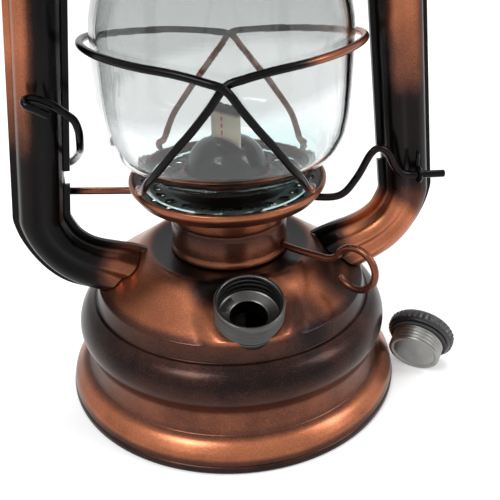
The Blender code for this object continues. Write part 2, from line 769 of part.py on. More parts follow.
def tube_half_mesh(name, side, face):
    """One pressed half of a tube. Side is -1 left or +1 right, face -1 front or +1 back."""
    flange = CLEARANCE / 2 + TUBE_WALL
    vertices = []
    rings = tube_rings()
    for inner, outer, depth in rings:
        for across, rise in TUBE_SECTION_SHARES:
            x = inner[0] + (outer[0] - inner[0]) * across
            z = inner[1] + (outer[1] - inner[1]) * across
            y = flange + (depth - flange) * rise
            vertices.append((side * x, face * y, z))
    width = len(TUBE_SECTION_SHARES)
    faces = []
    for ring in range(len(rings) - 1):
        for column in range(width - 1):
            first = ring * width + column
            quad = [first, first + 1, first + width + 1, first + width]
            if side * face < 0:
                quad.reverse()
            faces.append(quad)
    mesh = bpy.data.meshes.new(name)
    mesh.from_pydata(vertices, [], faces)
    mesh.shade_smooth()
    return mesh


def make_tubes(dome_cutter):
    chamber_cutter = turned_cutter(
        "chamber_cutter",
        [
            (0.0, CHAMBER_TOP + OVERRUN),
            (CHAMBER_RADIUS + CLEARANCE, CHAMBER_TOP + OVERRUN),
            (CHAMBER_RADIUS + CLEARANCE, CHAMBER_FOOT - OVERRUN),
            (0.0, CHAMBER_FOOT - OVERRUN),
        ],
    )
    for side, side_name in ((-1, "left"), (1, "right")):
        low_edge = tube_line(NOTCH_LOW)[0]
        high_edge = tube_line(NOTCH_HIGH)[0]
        ends = sorted((side * (low_edge + NOTCH_DEPTH), side * (high_edge - OVERRUN)))
        notch = add_cutter(
            side_name + "_notch_cutter",
            block_mesh(
                side_name + "_notch_cutter",
                [((ends[0], -OVERRUN, NOTCH_LOW), (ends[1], OVERRUN, NOTCH_HIGH))],
            ),
        )
        for face, face_name in ((-1, "front"), (1, "back")):
            name = "tube_" + side_name + "_" + face_name
            half = add_part(name, tube_half_mesh(name, side, face), "copper")
            shell = half.modifiers.new("Sheet", "SOLIDIFY")
            shell.thickness = TUBE_WALL
            shell.offset = -1.0
            shell.use_even_offset = True
            cut(half, dome_cutter)
            cut(half, chamber_cutter)
            cut(half, notch)


# Burner

def make_burner():
    groove = COLLAR_GROOVE_HEIGHT
    flank = COLLAR_FOOT_RADIUS - COLLAR_GROOVE_RADIUS
    seat_height = BURNER_TOP - BURNER_FLANGE - CLEARANCE
    collar = [
        (COLLAR_SEAT_RADIUS, COLLAR_TOP),
        (COLLAR_RADIUS - flank / 3, COLLAR_TOP),
        (COLLAR_RADIUS, COLLAR_TOP - flank),
        (COLLAR_RADIUS, COLLAR_TOP - flank * 3),
        (COLLAR_GROOVE_RADIUS + flank / 2, groove + flank),
        (COLLAR_GROOVE_RADIUS, groove),
        (COLLAR_GROOVE_RADIUS + flank / 2, groove - flank),
        (COLLAR_GROOVE_RADIUS + flank / 2, COLLAR_FOOT + flank * 2),
        (COLLAR_FOOT_RADIUS, COLLAR_FOOT + flank),
        (COLLAR_FOOT_RADIUS, COLLAR_FOOT),
        (COLLAR_BORE, COLLAR_FOOT),
        (COLLAR_BORE, seat_height),
        (COLLAR_SEAT_RADIUS, seat_height),
    ]
    collar_part = turned("burner_collar", collar, "copper")

    flange_foot = BURNER_TOP - BURNER_FLANGE
    inside = BURNER_RADIUS - BURNER_WALL
    floor_top = BURNER_FLOOR + BURNER_WALL
    body = [
        (BURNER_MOUTH_RADIUS, BURNER_TOP),
        (COLLAR_SEAT_RADIUS - CLEARANCE, BURNER_TOP),
        (COLLAR_SEAT_RADIUS - CLEARANCE, flange_foot),
        (BURNER_RADIUS, flange_foot),
        (BURNER_RADIUS, BURNER_FLOOR),
        (0.0, BURNER_FLOOR),
        (0.0, floor_top),
        (inside, floor_top),
        (inside, flange_foot),
        (BURNER_MOUTH_RADIUS, flange_foot),
    ]
    body = body[6:] + body[:6]
    body_part = turned("burner_body", body, "steel", SMALL_STEPS, closed=False, place=BURNER_FRAME)

    half_length = WICK_WIDTH / 2 + CLEARANCE + TUBE_SHEET
    half_width = WICK_THICKNESS / 2 + CLEARANCE + TUBE_SHEET
    slot_length = half_length + CLEARANCE
    slot_width = half_width + CLEARANCE
    slot = add_cutter(
        "burner_slot_cutter",
        block_mesh(
            "burner_slot_cutter",
            [(
                (-slot_length, -slot_width, BURNER_FLOOR - OVERRUN),
                (slot_length, slot_width, floor_top + OVERRUN / 2),
            )],
        ),
        place=BURNER_FRAME,
    )
    cut(body_part, slot)
    shaft_hole = add_cutter(
        "shaft_hole_cutter",
        rod_mesh(
            "shaft_hole_cutter",
            [(
                (SHAFT_INNER_REACH, SHAFT_OFFSET, SHAFT_HEIGHT),
                (COLLAR_RADIUS + OVERRUN, SHAFT_OFFSET, SHAFT_HEIGHT),
                SHAFT_RADIUS + CLEARANCE,
            )],
            HOLE_SIDES,
        ),
        place=BURNER_FRAME,
    )
    cut(body_part, shaft_hole)
    cut(collar_part, shaft_hole)

    flange_low = floor_top + CLEARANCE
    flange_high = flange_low + WICK_FLANGE_THICKNESS
    wick_tube = add_part(
        "wick_tube",
        block_mesh(
            "wick_tube",
            [((-half_length, -half_width, WICK_TUBE_FOOT), (half_length, half_width, WICK_TUBE_TOP))],
        ),
        "steel", place=BURNER_FRAME,
    )
    flange = add_cutter(
        "wick_tube_flange",
        block_mesh(
            "wick_tube_flange",
            [(
                (-WICK_FLANGE_LENGTH / 2, -WICK_FLANGE_WIDTH / 2, flange_low),
                (WICK_FLANGE_LENGTH / 2, WICK_FLANGE_WIDTH / 2, flange_high),
            )],
        ),
        place=BURNER_FRAME,
    )
    cut(wick_tube, flange, "UNION")
    bore = add_cutter(
        "wick_tube_bore_cutter",
        block_mesh(
            "wick_tube_bore_cutter",
            [(
                (-half_length + TUBE_SHEET, -half_width + TUBE_SHEET, WICK_TUBE_FOOT - OVERRUN),
                (half_length - TUBE_SHEET, half_width - TUBE_SHEET, WICK_TUBE_TOP + OVERRUN),
            )],
        ),
        place=BURNER_FRAME,
    )
    cut(wick_tube, bore)
    window_half_height = WHEEL_RADIUS + CLEARANCE * 2
    window = add_cutter(
        "wheel_window_cutter",
        block_mesh(
            "wheel_window_cutter",
            [(
                (-half_length + TUBE_SHEET * 2, 0.0, SHAFT_HEIGHT - window_half_height),
                (half_length - TUBE_SHEET * 2, half_width + OVERRUN, SHAFT_HEIGHT + window_half_height),
            )],
        ),
        place=BURNER_FRAME,
    )
    cut(wick_tube, window)

    cone_foot = BURNER_TOP + CLEARANCE
    wall = CONE_WALL
    outer = [(0.0, CONE_TOP)]
    outer += along((0.0, CONE_SHOULDER), (CONE_RADIUS, CONE_TOP), CONE_SHARES)
    outer.append((CONE_RADIUS, cone_foot))
    inner = [(CONE_RADIUS - wall, cone_foot)]
    inside_dome = along((0.0, CONE_SHOULDER), (CONE_RADIUS - wall, CONE_TOP - wall), CONE_SHARES)
    inner += reversed(inside_dome)
    inner.append((0.0, CONE_TOP - wall))
    cone = turned(
        "burner_cone", outer + inner, "black_enamel", SMALL_STEPS, closed=False, place=BURNER_FRAME
    )
    slit = add_cutter(
        "cone_slot_cutter",
        block_mesh(
            "cone_slot_cutter",
            [(
                (-SLOT_SHORT_END, -SLOT_WIDTH / 2, SLOT_FLOOR),
                (CONE_RADIUS + OVERRUN, SLOT_WIDTH / 2, CONE_TOP + OVERRUN),
            )],
        ),
        place=BURNER_FRAME,
    )
    cut(cone, slit)


def make_wick():
    half_length = WICK_WIDTH / 2
    half_width = WICK_THICKNESS / 2
    add_part(
        "wick",
        block_mesh("wick", [((-half_length, -half_width, WICK_FOOT), (half_length, half_width, WICK_TOP))]),
        "cotton", place=BURNER_FRAME,
    )


def make_wick_shaft():
    """Shaft, open ring knob and wheels, in a frame whose X axis is the shaft's own line."""
    frame = add_joint_frame(
        "wick_knob_frame", BURNER_FRAME @ Matrix.Translation((0, SHAFT_OFFSET, SHAFT_HEIGHT))
    )
    exit_reach = math.sqrt(COLLAR_GROOVE_RADIUS ** 2 - SHAFT_OFFSET ** 2)
    ring_start = exit_reach + SHAFT_OUTER_REACH
    centre = ring_start + KNOB_RADIUS
    points = [(-SHAFT_INNER_REACH, 0, 0), (ring_start - KNOB_RADIUS, 0, 0)]
    last_degrees = KNOB_OPEN_DEG - 180.0
    for index in range(KNOB_STEPS + 1):
        angle = math.radians(KNOB_START_DEG + (last_degrees - KNOB_START_DEG) * index / KNOB_STEPS)
        points.append((centre + KNOB_RADIUS * math.cos(angle), 0, KNOB_RADIUS * math.sin(angle)))
    bend = (ring_start - KNOB_RADIUS / 3, 0, KNOB_RADIUS / 12)
    points.insert(2, bend)
    add_part("wick_shaft", wire_curve("wick_shaft", points, SHAFT_RADIUS), "copper", frame)

    for side, name in ((-1, "wick_wheel_inner"), (1, "wick_wheel_outer")):
        outlines = [
            toothed_points(WHEEL_RADIUS, WHEEL_TOOTH_DEPTH, WHEEL_TEETH),
            ring_points(SHAFT_RADIUS + CLEARANCE, WHEEL_TEETH),
        ]
        place = Matrix.Translation((side * WHEEL_SPACING / 2, 0, 0)) @ Matrix.Rotation(math.pi / 2, 4, "Y")
        add_part(name, outline_curve(name, outlines, WHEEL_THICKNESS), "steel", frame, place)


# Globe plate, globe and guard

def make_globe_plate():
    hole = CONE_RADIUS + PLATE_HOLE_GAP
    sheet = PLATE_SHEET
    floor = PLATE_FLOOR
    rim = PLATE_RADIUS
    top = PLATE_RIM_TOP
    rise = top - floor
    profile = [
        (rim - sheet * 1.6, top),
        (rim - sheet / 3, top - sheet / 4),
        (rim, top - rise / 4),
        (rim - sheet / 2, top - rise * 0.44),
        (rim - sheet * 2.3, top - rise * 0.75),
        (PLATE_FLOOR_RADIUS, floor),
        (PLATE_STEP_RADIUS, floor),
        (hole + sheet, PLATE_STEP_TOP - sheet * 2),
        (hole, PLATE_STEP_TOP - sheet),
        (hole, PLATE_STEP_TOP),
        (hole + sheet * 1.8, PLATE_STEP_TOP - sheet * 1.4),
        (PLATE_STEP_RADIUS + sheet, floor + sheet),
        (PLATE_FLOOR_RADIUS - sheet / 2, floor + sheet),
        (rim - sheet * 3.2, top - rise * 0.6),
        (rim - sheet * 2.2, top - rise * 0.25),
    ]
    plate = turned("globe_plate", profile, "copper")
    rods = []
    step = 360.0 / VENT_COUNT
    for ring, radius in enumerate((VENT_INNER_RING, VENT_OUTER_RING)):
        for index in range(VENT_COUNT):
            degrees = step * (index + ring / 2)
            rods.append((
                polar(radius, degrees, floor - OVERRUN / 2),
                polar(radius, degrees, floor + sheet + OVERRUN / 2),
                VENT_RADIUS,
            ))
    cut(plate, add_cutter("plate_vent_cutters", rod_mesh("plate_vent_cutters", rods, VENT_SIDES)))


def make_globe():
    foot = PLATE_FLOOR + PLATE_SHEET + CLEARANCE
    belly = (GLOBE_BELLY_RADIUS, foot + (GLOBE_TOP - foot) * GLOBE_BELLY_SHARE)
    lower = along((GLOBE_FOOT_RADIUS, foot), belly, GLOBE_LOWER_SHARES)
    upper = along(belly, (GLOBE_MOUTH_RADIUS, GLOBE_TOP), GLOBE_UPPER_SHARES)
    outer = [(GLOBE_MOUTH_RADIUS, GLOBE_TOP)]
    outer += reversed(upper)
    outer += reversed(lower)
    outer.append((GLOBE_FOOT_RADIUS, foot))
    inner = [(radius - GLOBE_WALL, height) for radius, height in reversed(outer)]
    turned("globe", outer + inner, "glass")


def guard_leg(foot_degrees, cross_degrees, cross_height, step):
    """One leg of a guard wire, from its foot on the plate's rim up to just before a crossing."""
    foot_radius = PLATE_RADIUS - PLATE_SHEET
    foot_height = PLATE_RIM_TOP + CLEARANCE
    stub = foot_height + GUARD_WIRE_RADIUS * 2
    points = [polar(foot_radius, foot_degrees, foot_height), polar(foot_radius, foot_degrees, stub)]
    for turn_share, rise_share, out_share in GUARD_LEG_SHARES:
        radius = foot_radius + (GUARD_RADIUS - foot_radius) * out_share + step * turn_share ** 4
        degrees = foot_degrees + (cross_degrees - foot_degrees) * turn_share
        points.append(polar(radius, degrees, foot_height + (cross_height - foot_height) * rise_share))
    return points


def guard_route(front_foot, rear_foot, rear_degrees, front_step, rear_step):
    """A guard wire from its front foot over both crossings, round one side, to its rear foot."""
    fall = GUARD_TOP - GUARD_REAR_TOP
    front_top = GUARD_TOP - fall * GUARD_CROSS_SHARE
    points = guard_leg(front_foot, GUARD_FRONT_DEG, front_top, front_step)
    points.append(polar(GUARD_RADIUS + front_step, GUARD_FRONT_DEG, front_top))
    for turn_share, fall_share, bulge_share, step_share in GUARD_SIDE_SHARES:
        step = front_step if turn_share < 0.5 else rear_step
        radius = GUARD_RADIUS + GUARD_SIDE_BULGE * bulge_share + step * step_share
        degrees = GUARD_FRONT_DEG + (rear_degrees - GUARD_FRONT_DEG) * turn_share
        points.append(polar(radius, degrees, GUARD_TOP - fall * fall_share))
    points.append(polar(GUARD_RADIUS + rear_step, rear_degrees, GUARD_REAR_TOP))
    points += reversed(guard_leg(rear_foot, rear_degrees, GUARD_REAR_TOP, rear_step))
    return smooth_route(points, GUARD_RADIUS / 4)


def make_guard():
    route_a = guard_route(
        GUARD_A_FRONT_FOOT_DEG, GUARD_A_REAR_FOOT_DEG + 360.0, GUARD_REAR_DEG + 360.0, 0.0, GUARD_CROSS_STEP
    )
    route_b = guard_route(
        GUARD_B_FRONT_FOOT_DEG, GUARD_B_REAR_FOOT_DEG, GUARD_REAR_DEG, GUARD_CROSS_STEP, 0.0
    )
    for name, route in (("guard_wire_a", route_a), ("guard_wire_b", route_b)):
        add_part(name, wire_curve(name, route, GUARD_WIRE_RADIUS), "dark_copper")


# Lift lever

def lever_ends():
    """The two bearing points of the lift lever, behind the left tube and before the right tube."""
    offset = TUBE_HALF_DEPTH + CLEARANCE * 2 + EYE_WIRE_RADIUS * 2 + LEVER_WIRE_RADIUS
    left = Vector((-LEVER_LEFT_REACH, offset, LEVER_LEFT_HEIGHT))
    right = Vector((LEVER_RIGHT_REACH, -offset, LEVER_RIGHT_HEIGHT))
    return left, right


def lever_frame():
    left, right = lever_ends()
    turn_to_axis = Vector((1.0, 0.0, 0.0)).rotation_difference(right - left).to_matrix().to_4x4()
    return Matrix.Translation(left) @ turn_to_axis


def lever_route():
    """The lever's route: finger loop, down past the left tube, behind the collar, and to the right."""
    left, right = lever_ends()
    line = (right - left).normalized()
    thick = LEVER_WIRE_RADIUS * 2
    points = []
    for across, back, up in LOOP_SHARES:
        points.append(Vector((
            -LOOP_REACH + thick * across, -LOOP_FRONT + LOOP_GAP * back, LOOP_HEIGHT + thick * up
        )))
    left_edge = tube_line(LEVER_LEFT_HEIGHT)[0]
    right_edge = tube_line(LEVER_RIGHT_HEIGHT)[0]
    drop = LOOP_HEIGHT - left.z
    back_run = -LOOP_FRONT + LOOP_GAP
    for across, forward, down in LEVER_DOWN_SHARES:
        points.append(Vector((-left_edge * across, back_run * forward, LOOP_HEIGHT - drop * down)))
    for across, back, down in LEVER_COIL_SHARES:
        points.append(Vector((left.x + thick * across, left.y + thick * back, LOOP_HEIGHT - drop * down)))
    points += [left - line * thick / 2, left + line * thick, left + line * thick * 3]
    under_plate = PLATE_FLOOR - CLEARANCE - LEVER_WIRE_RADIUS
    points.append(Vector((-LEVER_ARC_RADIUS * 1.5, LEVER_ARC_RADIUS * 0.32, under_plate)))
    for index in range(LEVER_ARC_STEPS + 1):
        degrees = LEVER_ARC_START_DEG - LEVER_ARC_SWEEP_DEG * index / LEVER_ARC_STEPS
        points.append(polar(LEVER_ARC_RADIUS, degrees, under_plate))
    rise = right.z - under_plate
    for across, forward, up in LEVER_RIGHT_SHARES:
        points.append(Vector((right_edge * across, right.y * forward, under_plate + rise * up)))
    points += [right - line * thick, right + line * thick, right + line * LEVER_TAIL]
    return smooth_route(points, thick * 2.5)


def make_lever():
    frame_place = lever_frame()
    frame = add_joint_frame("lift_lever_frame", frame_place)
    to_frame = frame_place.inverted()
    route = [to_frame @ point for point in lever_route()]
    add_part("lift_lever", wire_curve("lift_lever", route, LEVER_WIRE_RADIUS), "dark_copper", frame)


def make_lever_bearings():
    """Two bent wires fixed to the tubes, each round the lever where it turns."""
    left, right = lever_ends()
    ring = LEVER_WIRE_RADIUS + CLEARANCE + EYE_WIRE_RADIUS
    stem = TUBE_HALF_DEPTH + CLEARANCE + EYE_WIRE_RADIUS
    for name, centre, face in (("lever_clip", left, 1), ("lever_eye", right, -1)):
        points = [
            Vector((centre.x, face * stem, centre.z + EYE_STEM)),
            Vector((centre.x, face * stem, centre.z + EYE_STEM * 0.7)),
        ]
        for index in range(EYE_STEPS + 1):
            angle = math.radians(EYE_START_DEG - EYE_SWEEP_DEG * index / EYE_STEPS)
            y = centre.y + face * ring * math.cos(angle)
            points.append(Vector((centre.x, y, centre.z + ring * math.sin(angle))))
        add_part(name, wire_curve(name, points, EYE_WIRE_RADIUS), "dark_copper")


# Hood, chimney, spring and air chamber

def make_hood():
    sheet = CROWN_SHEET
    ledge = GLOBE_TOP + CLEARANCE
    inside = CROWN_RADIUS - sheet
    crown = [
        (CHIMNEY_RADIUS, CROWN_TOP),
        (CROWN_RADIUS - sheet * 2, CROWN_SHOULDER + sheet * 3),
        (CROWN_RADIUS, CROWN_SHOULDER),
        (CROWN_RADIUS, CROWN_FOOT + CROWN_FLARE * 2),
        (CROWN_RADIUS + CROWN_FLARE, CROWN_FOOT),
        (CROWN_RADIUS + CROWN_FLARE - sheet, CROWN_FOOT),
        (inside, CROWN_FOOT + CROWN_FLARE * 2),
        (inside, ledge),
        (CROWN_LEDGE_RADIUS, ledge),
        (CROWN_LEDGE_RADIUS, ledge + sheet),
        (inside, ledge + sheet),
        (inside, CROWN_SHOULDER - sheet / 2),
        (CROWN_RADIUS - sheet * 3, CROWN_SHOULDER + sheet * 2.2),
        (CHIMNEY_RADIUS - CHIMNEY_WALL, CROWN_TOP - sheet),
        (CHIMNEY_RADIUS - CHIMNEY_WALL, CROWN_TOP),
    ]
    crown_part = turned("hood_crown", crown, "copper")
    rods = []
    vent_height = (ledge + sheet + CROWN_SHOULDER) / 2
    for index in range(CROWN_VENT_COUNT):
        degrees = 360.0 * index / CROWN_VENT_COUNT
        rods.append((
            polar(CROWN_RADIUS - OVERRUN, degrees, vent_height),
            polar(CROWN_RADIUS + OVERRUN, degrees, vent_height),
            CROWN_VENT_RADIUS,
        ))
    cut(crown_part, add_cutter("crown_vent_cutters", rod_mesh("crown_vent_cutters", rods, VENT_SIDES)))

    foot = CROWN_TOP + CLEARANCE
    chimney = [
        (CHIMNEY_RADIUS, CHIMNEY_TOP),
        (CHIMNEY_RADIUS, foot),
        (CHIMNEY_RADIUS - CHIMNEY_WALL, foot),
        (CHIMNEY_RADIUS - CHIMNEY_WALL, CHIMNEY_TOP),
    ]
    chimney_part = turned("chimney", chimney, "dark_copper")
    vent_top = CHIMNEY_TOP - CHIMNEY_VENT_DROP
    vents = bmesh.new()
    for index in range(CHIMNEY_VENT_COUNT):
        degrees = 360.0 * index / CHIMNEY_VENT_COUNT
        centre = polar(CHIMNEY_RADIUS, degrees, vent_top - CHIMNEY_VENT_HEIGHT / 2)
        place = (
            Matrix.Translation(centre)
            @ Matrix.Rotation(math.tau * index / CHIMNEY_VENT_COUNT, 4, "Z")
            @ Matrix.Diagonal((OVERRUN * 2, CHIMNEY_VENT_WIDTH, CHIMNEY_VENT_HEIGHT, 1.0))
        )
        bmesh.ops.create_cube(vents, size=1.0, matrix=place)
    vent_mesh = bpy.data.meshes.new("chimney_vent_cutters")
    vents.to_mesh(vent_mesh)
    vents.free()
    cut(chimney_part, add_cutter("chimney_vent_cutters", vent_mesh))

    foot = CHIMNEY_TOP + CLEARANCE
    sheet = RAIN_CAP_SHEET
    rise = RAIN_CAP_RISE
    rain_cap = [
        (0.0, foot + rise),
        (CHIMNEY_RADIUS / 3, foot + rise * 0.95),
        (CHIMNEY_RADIUS, foot + rise * 0.62),
        (RAIN_CAP_RADIUS - sheet, foot + rise * 0.16),
        (RAIN_CAP_RADIUS, foot - sheet / 2),
        (RAIN_CAP_RADIUS, foot - RAIN_CAP_SKIRT),
        (RAIN_CAP_RADIUS - sheet, foot - RAIN_CAP_SKIRT),
        (RAIN_CAP_RADIUS - sheet, foot),
        (0.0, foot),
    ]
    turned("chimney_cap", rain_cap, "copper", closed=False)

    cap_top = foot + rise
    ring_foot = cap_top + CLEARANCE
    centre = ring_foot + RING_RADIUS + RING_WIRE_RADIUS * 3
    points = [(-RING_FOOT_SPREAD, 0, ring_foot), (-RING_FOOT_SPREAD, 0, ring_foot + RING_WIRE_RADIUS * 2)]
    for index in range(RING_STEPS + 1):
        angle = math.radians(RING_START_DEG - RING_SWEEP_DEG * index / RING_STEPS)
        points.append((RING_RADIUS * math.cos(angle), 0, centre + RING_RADIUS * math.sin(angle)))
    points += [(RING_FOOT_SPREAD, 0, ring_foot + RING_WIRE_RADIUS * 2), (RING_FOOT_SPREAD, 0, ring_foot)]
    add_part("lift_ring", wire_curve("lift_ring", points, RING_WIRE_RADIUS), "dark_copper")


def make_spring():
    """A loose coil round the chimney, between the crown's cone and the air chamber's top."""
    cone_start = (CHIMNEY_RADIUS, CROWN_TOP)
    cone_end = (CROWN_RADIUS - CROWN_SHEET * 2, CROWN_SHOULDER + CROWN_SHEET * 3)
    inner_side = SPRING_RADIUS - SPRING_WIRE_RADIUS
    slope = (cone_end[1] - cone_start[1]) / (cone_end[0] - cone_start[0])
    foot = cone_start[1] + slope * (inner_side - cone_start[0]) + SPRING_WIRE_RADIUS + CLEARANCE
    top = CHAMBER_UNDERSIDE - SPRING_WIRE_RADIUS - CLEARANCE
    count = SPRING_TURNS * SPRING_TURN_STEPS
    points = []
    for index in range(count + 1):
        share = index / count
        points.append(polar(SPRING_RADIUS, 360.0 * SPRING_TURNS * share, foot + (top - foot) * share))
    add_part("hood_spring", wire_curve("hood_spring", points, SPRING_WIRE_RADIUS, 1), "steel")
    gaps = []
    for index in range(len(points) - SPRING_TURN_STEPS):
        gaps.append((points[index + SPRING_TURN_STEPS] - points[index]).length - SPRING_WIRE_RADIUS * 2)
    print("least gap between the spring's turns, in metres:", min(gaps))


def make_air_chamber():
    sheet = CHAMBER_SHEET
    corner = CHAMBER_CORNER
    profile = [
        (CHAMBER_BORE, CHAMBER_TOP),
        (CHAMBER_RADIUS - corner, CHAMBER_TOP),
        (CHAMBER_RADIUS - corner / 4, CHAMBER_TOP - corner / 3),
        (CHAMBER_RADIUS, CHAMBER_TOP - corner),
        (CHAMBER_RADIUS, CHAMBER_FOOT + CHAMBER_BEAD * 2),
        (CHAMBER_RADIUS + CHAMBER_BEAD, CHAMBER_FOOT + CHAMBER_BEAD),
        (CHAMBER_RADIUS, CHAMBER_FOOT),
        (CHAMBER_RADIUS - sheet, CHAMBER_FOOT + CHAMBER_BEAD / 2),
        (CHAMBER_RADIUS - sheet, CHAMBER_TOP - corner),
        (CHAMBER_RADIUS - sheet - corner / 4, CHAMBER_UNDERSIDE - corner / 4),
        (CHAMBER_RADIUS - corner, CHAMBER_UNDERSIDE),
        (CHAMBER_BORE, CHAMBER_UNDERSIDE),
    ]
    chamber = turned("air_chamber", profile, "copper")
    middle = CHAMBER_TOP - corner - TUBE_END_WIDTH / 2
    ports = add_cutter(
        "air_port_cutter",
        block_mesh(
            "air_port_cutter",
            [(
                (-CHAMBER_RADIUS - OVERRUN, -PORT_WIDTH / 2, middle - PORT_HEIGHT / 2),
                (CHAMBER_RADIUS + OVERRUN, PORT_WIDTH / 2, middle + PORT_HEIGHT / 2),
            )],
        ),
    )
    cut(chamber, ports)


# Bail

def make_bail():
    frame = add_joint_frame("bail_frame", Matrix.Translation((0, 0, BAIL_HEIGHT)))
    swing = Matrix.Rotation(math.radians(BAIL_STORED_DEG), 4, "X")
    arm = BAIL_LENGTH * BAIL_ARM_SHARE
    ear_start = tube_outer_reach(BAIL_HEIGHT - EAR_FLANGE_RADIUS) + CLEARANCE
    ear_end = ear_start + EAR_LENGTH
    reach = ear_end + CLEARANCE + BAIL_WIRE_RADIUS
    half = [
        Vector((ear_start - BAIL_PIN_OVERHANG, 0, 0)),
        Vector((reach - BAIL_BEND / 2, 0, 0)),
        Vector((reach - BAIL_BEND / 8, 0, -BAIL_BEND / 8)),
        Vector((reach, 0, -BAIL_BEND / 2)),
        Vector((reach, 0, -arm)),
    ]
    arch = []
    for index in range(1, BAIL_ARCH_STEPS):
        angle = math.pi * index / BAIL_ARCH_STEPS
        arch.append(Vector((
            reach * math.cos(angle), 0, -arm - (BAIL_LENGTH - arm) * math.sin(angle)
        )))
    mirrored = [Vector((-point.x, point.y, point.z)) for point in reversed(half)]
    route = [swing @ point for point in half + arch + mirrored]
    add_part("bail", wire_curve("bail", route, BAIL_WIRE_RADIUS), "dark_copper", frame)

    hole = BAIL_WIRE_RADIUS + CLEARANCE
    profile = [
        (hole, ear_end),
        (EAR_RADIUS, ear_end),
        (EAR_RADIUS, ear_start + EAR_FLANGE_THICKNESS),
        (EAR_FLANGE_RADIUS, ear_start + EAR_FLANGE_THICKNESS),
        (EAR_FLANGE_RADIUS, ear_start),
        (hole, ear_start),
    ]
    for side, name in ((-1, "bail_ear_left"), (1, "bail_ear_right")):
        place = Matrix.Translation((0, 0, BAIL_HEIGHT)) @ Matrix.Rotation(side * math.pi / 2, 4, "Y")
        turned(name, profile, "dark_copper", SMALL_STEPS, place=place)


make_tank()
DOME_CUTTER = make_dome_cutter()
make_neck(DOME_CUTTER)
make_filler_cap()
make_tubes(DOME_CUTTER)
make_burner()
make_wick()
make_wick_shaft()
make_globe_plate()
make_globe()
make_guard()
make_lever()
make_lever_bearings()
make_hood()
make_spring()
make_air_chamber()
make_bail()
bpy.context.view_layer.update()
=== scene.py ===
"""Looks of a small hurricane lantern in antique copper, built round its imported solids."""

import math
import random

import bmesh
import bpy
import numpy as np
from mathutils import Matrix, Vector


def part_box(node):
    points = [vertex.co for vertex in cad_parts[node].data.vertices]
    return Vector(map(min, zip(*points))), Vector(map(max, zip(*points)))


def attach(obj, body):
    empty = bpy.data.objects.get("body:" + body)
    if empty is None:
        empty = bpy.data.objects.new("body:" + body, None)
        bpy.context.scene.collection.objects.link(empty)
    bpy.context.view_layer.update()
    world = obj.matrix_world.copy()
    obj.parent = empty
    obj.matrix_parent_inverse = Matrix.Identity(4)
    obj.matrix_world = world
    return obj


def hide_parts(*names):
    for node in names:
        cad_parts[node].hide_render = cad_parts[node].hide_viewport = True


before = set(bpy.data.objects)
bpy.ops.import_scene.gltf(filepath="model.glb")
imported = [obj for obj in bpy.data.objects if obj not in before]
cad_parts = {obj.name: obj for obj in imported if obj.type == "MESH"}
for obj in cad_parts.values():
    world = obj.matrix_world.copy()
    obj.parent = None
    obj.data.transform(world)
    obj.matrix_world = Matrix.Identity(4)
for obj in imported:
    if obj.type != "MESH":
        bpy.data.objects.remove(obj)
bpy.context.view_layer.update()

RANDOM = random.Random(11)

# Camera at the photograph's place
CAMERA_DISTANCE = 0.232317
CAMERA_HEIGHT = 0.174469
CAMERA_AZIMUTH_DEG = 6.963
CAMERA_YAW_DEG = 1.604
CAMERA_PITCH_DEG = 29.063
CAMERA_ROLL_DEG = -1.224
FOCAL_PIXELS = 813.569
PICTURE_PIXELS = 500
SENSOR_MM = 36.0

# The world's strength on the object, and what the floor adds for the eye alone
WORLD_LIGHT = 0.55
FLOOR_GLOW = 0.30

# Sizes shared with the solids, in metres
GAP = 0.0003
NECK_TILT_DEG = 19.0
NECK_PLACE = (0.0005, -0.0375, 0.0495)
BURNER_LINE_DEG = -48.0
CAP_REACH = 0.0642
CAP_BEARING_DEG = -10.6
CAP_TURN_DEG = 234.0
HEAD_RADIUS = 0.0113
HEAD_THICKNESS = 0.0043
PLUG_RADIUS = 0.0087
PLUG_LENGTH = 0.0066
TUBE_WIDTH = 0.0173
TUBE_HALF_DEPTH = 0.0075
TUBE_LEAN_SHARE = 0.1111
TUBE_STRAIGHT_FOOT = 0.064
TUBE_STRAIGHT_TOP = 0.178
PLATE_RIM_TOP = 0.073
PLATE_RADIUS = 0.0307

NECK_FRAME = Matrix.Translation(NECK_PLACE) @ Matrix.Rotation(math.radians(NECK_TILT_DEG), 4, "X")
BURNER_FRAME = Matrix.Rotation(math.radians(BURNER_LINE_DEG), 4, "Z")


# Outlines and routes

def smooth(points, step):
    """Points about one step apart along a smooth curve through the given ones."""
    places = [np.array(point, float) for point in points]
    gaps = [max(float(np.linalg.norm(b - a)), 1e-9) for a, b in zip(places, places[1:])]
    slopes = [(b - a) / gap for a, b, gap in zip(places, places[1:], gaps)]
    tangents = [slopes[0]]
    for index in range(1, len(places) - 1):
        share = gaps[index - 1] / (gaps[index - 1] + gaps[index])
        tangents.append(slopes[index - 1] * (1 - share) + slopes[index] * share)
    tangents.append(slopes[-1])
    route = [places[0]]
    for index, gap in enumerate(gaps):
        pieces = max(1, math.ceil(gap / step))
        for piece in range(1, pieces + 1):
            t = piece / pieces
            route.append(
                places[index] * (2 * t ** 3 - 3 * t ** 2 + 1)
                + tangents[index] * gap * (t ** 3 - 2 * t ** 2 + t)
                + places[index + 1] * (3 * t ** 2 - 2 * t ** 3)
                + tangents[index + 1] * gap * (t ** 3 - t ** 2)
            )
    return [tuple(float(value) for value in place) for place in route]


def smooth_route(points, step):
    """The same smooth curve that the wires' solids follow."""
    places = [Vector(point) for point in points]
    places = [places[0] * 2 - places[1]] + places + [places[-1] * 2 - places[-2]]
    route = [places[1]]
    for index in range(1, len(places) - 2):
        first, start, end, last = places[index - 1:index + 3]
        pieces = max(1, math.ceil((end - start).length / step))
        for piece in range(1, pieces + 1):
            t = piece / pieces
            route.append(
                (start * 2 + (end - first) * t + (first * 2 - start * 5 + end * 4 - last) * t ** 2
                 + (start * 3 - first - end * 3 + last) * t ** 3) / 2
            )
    return route


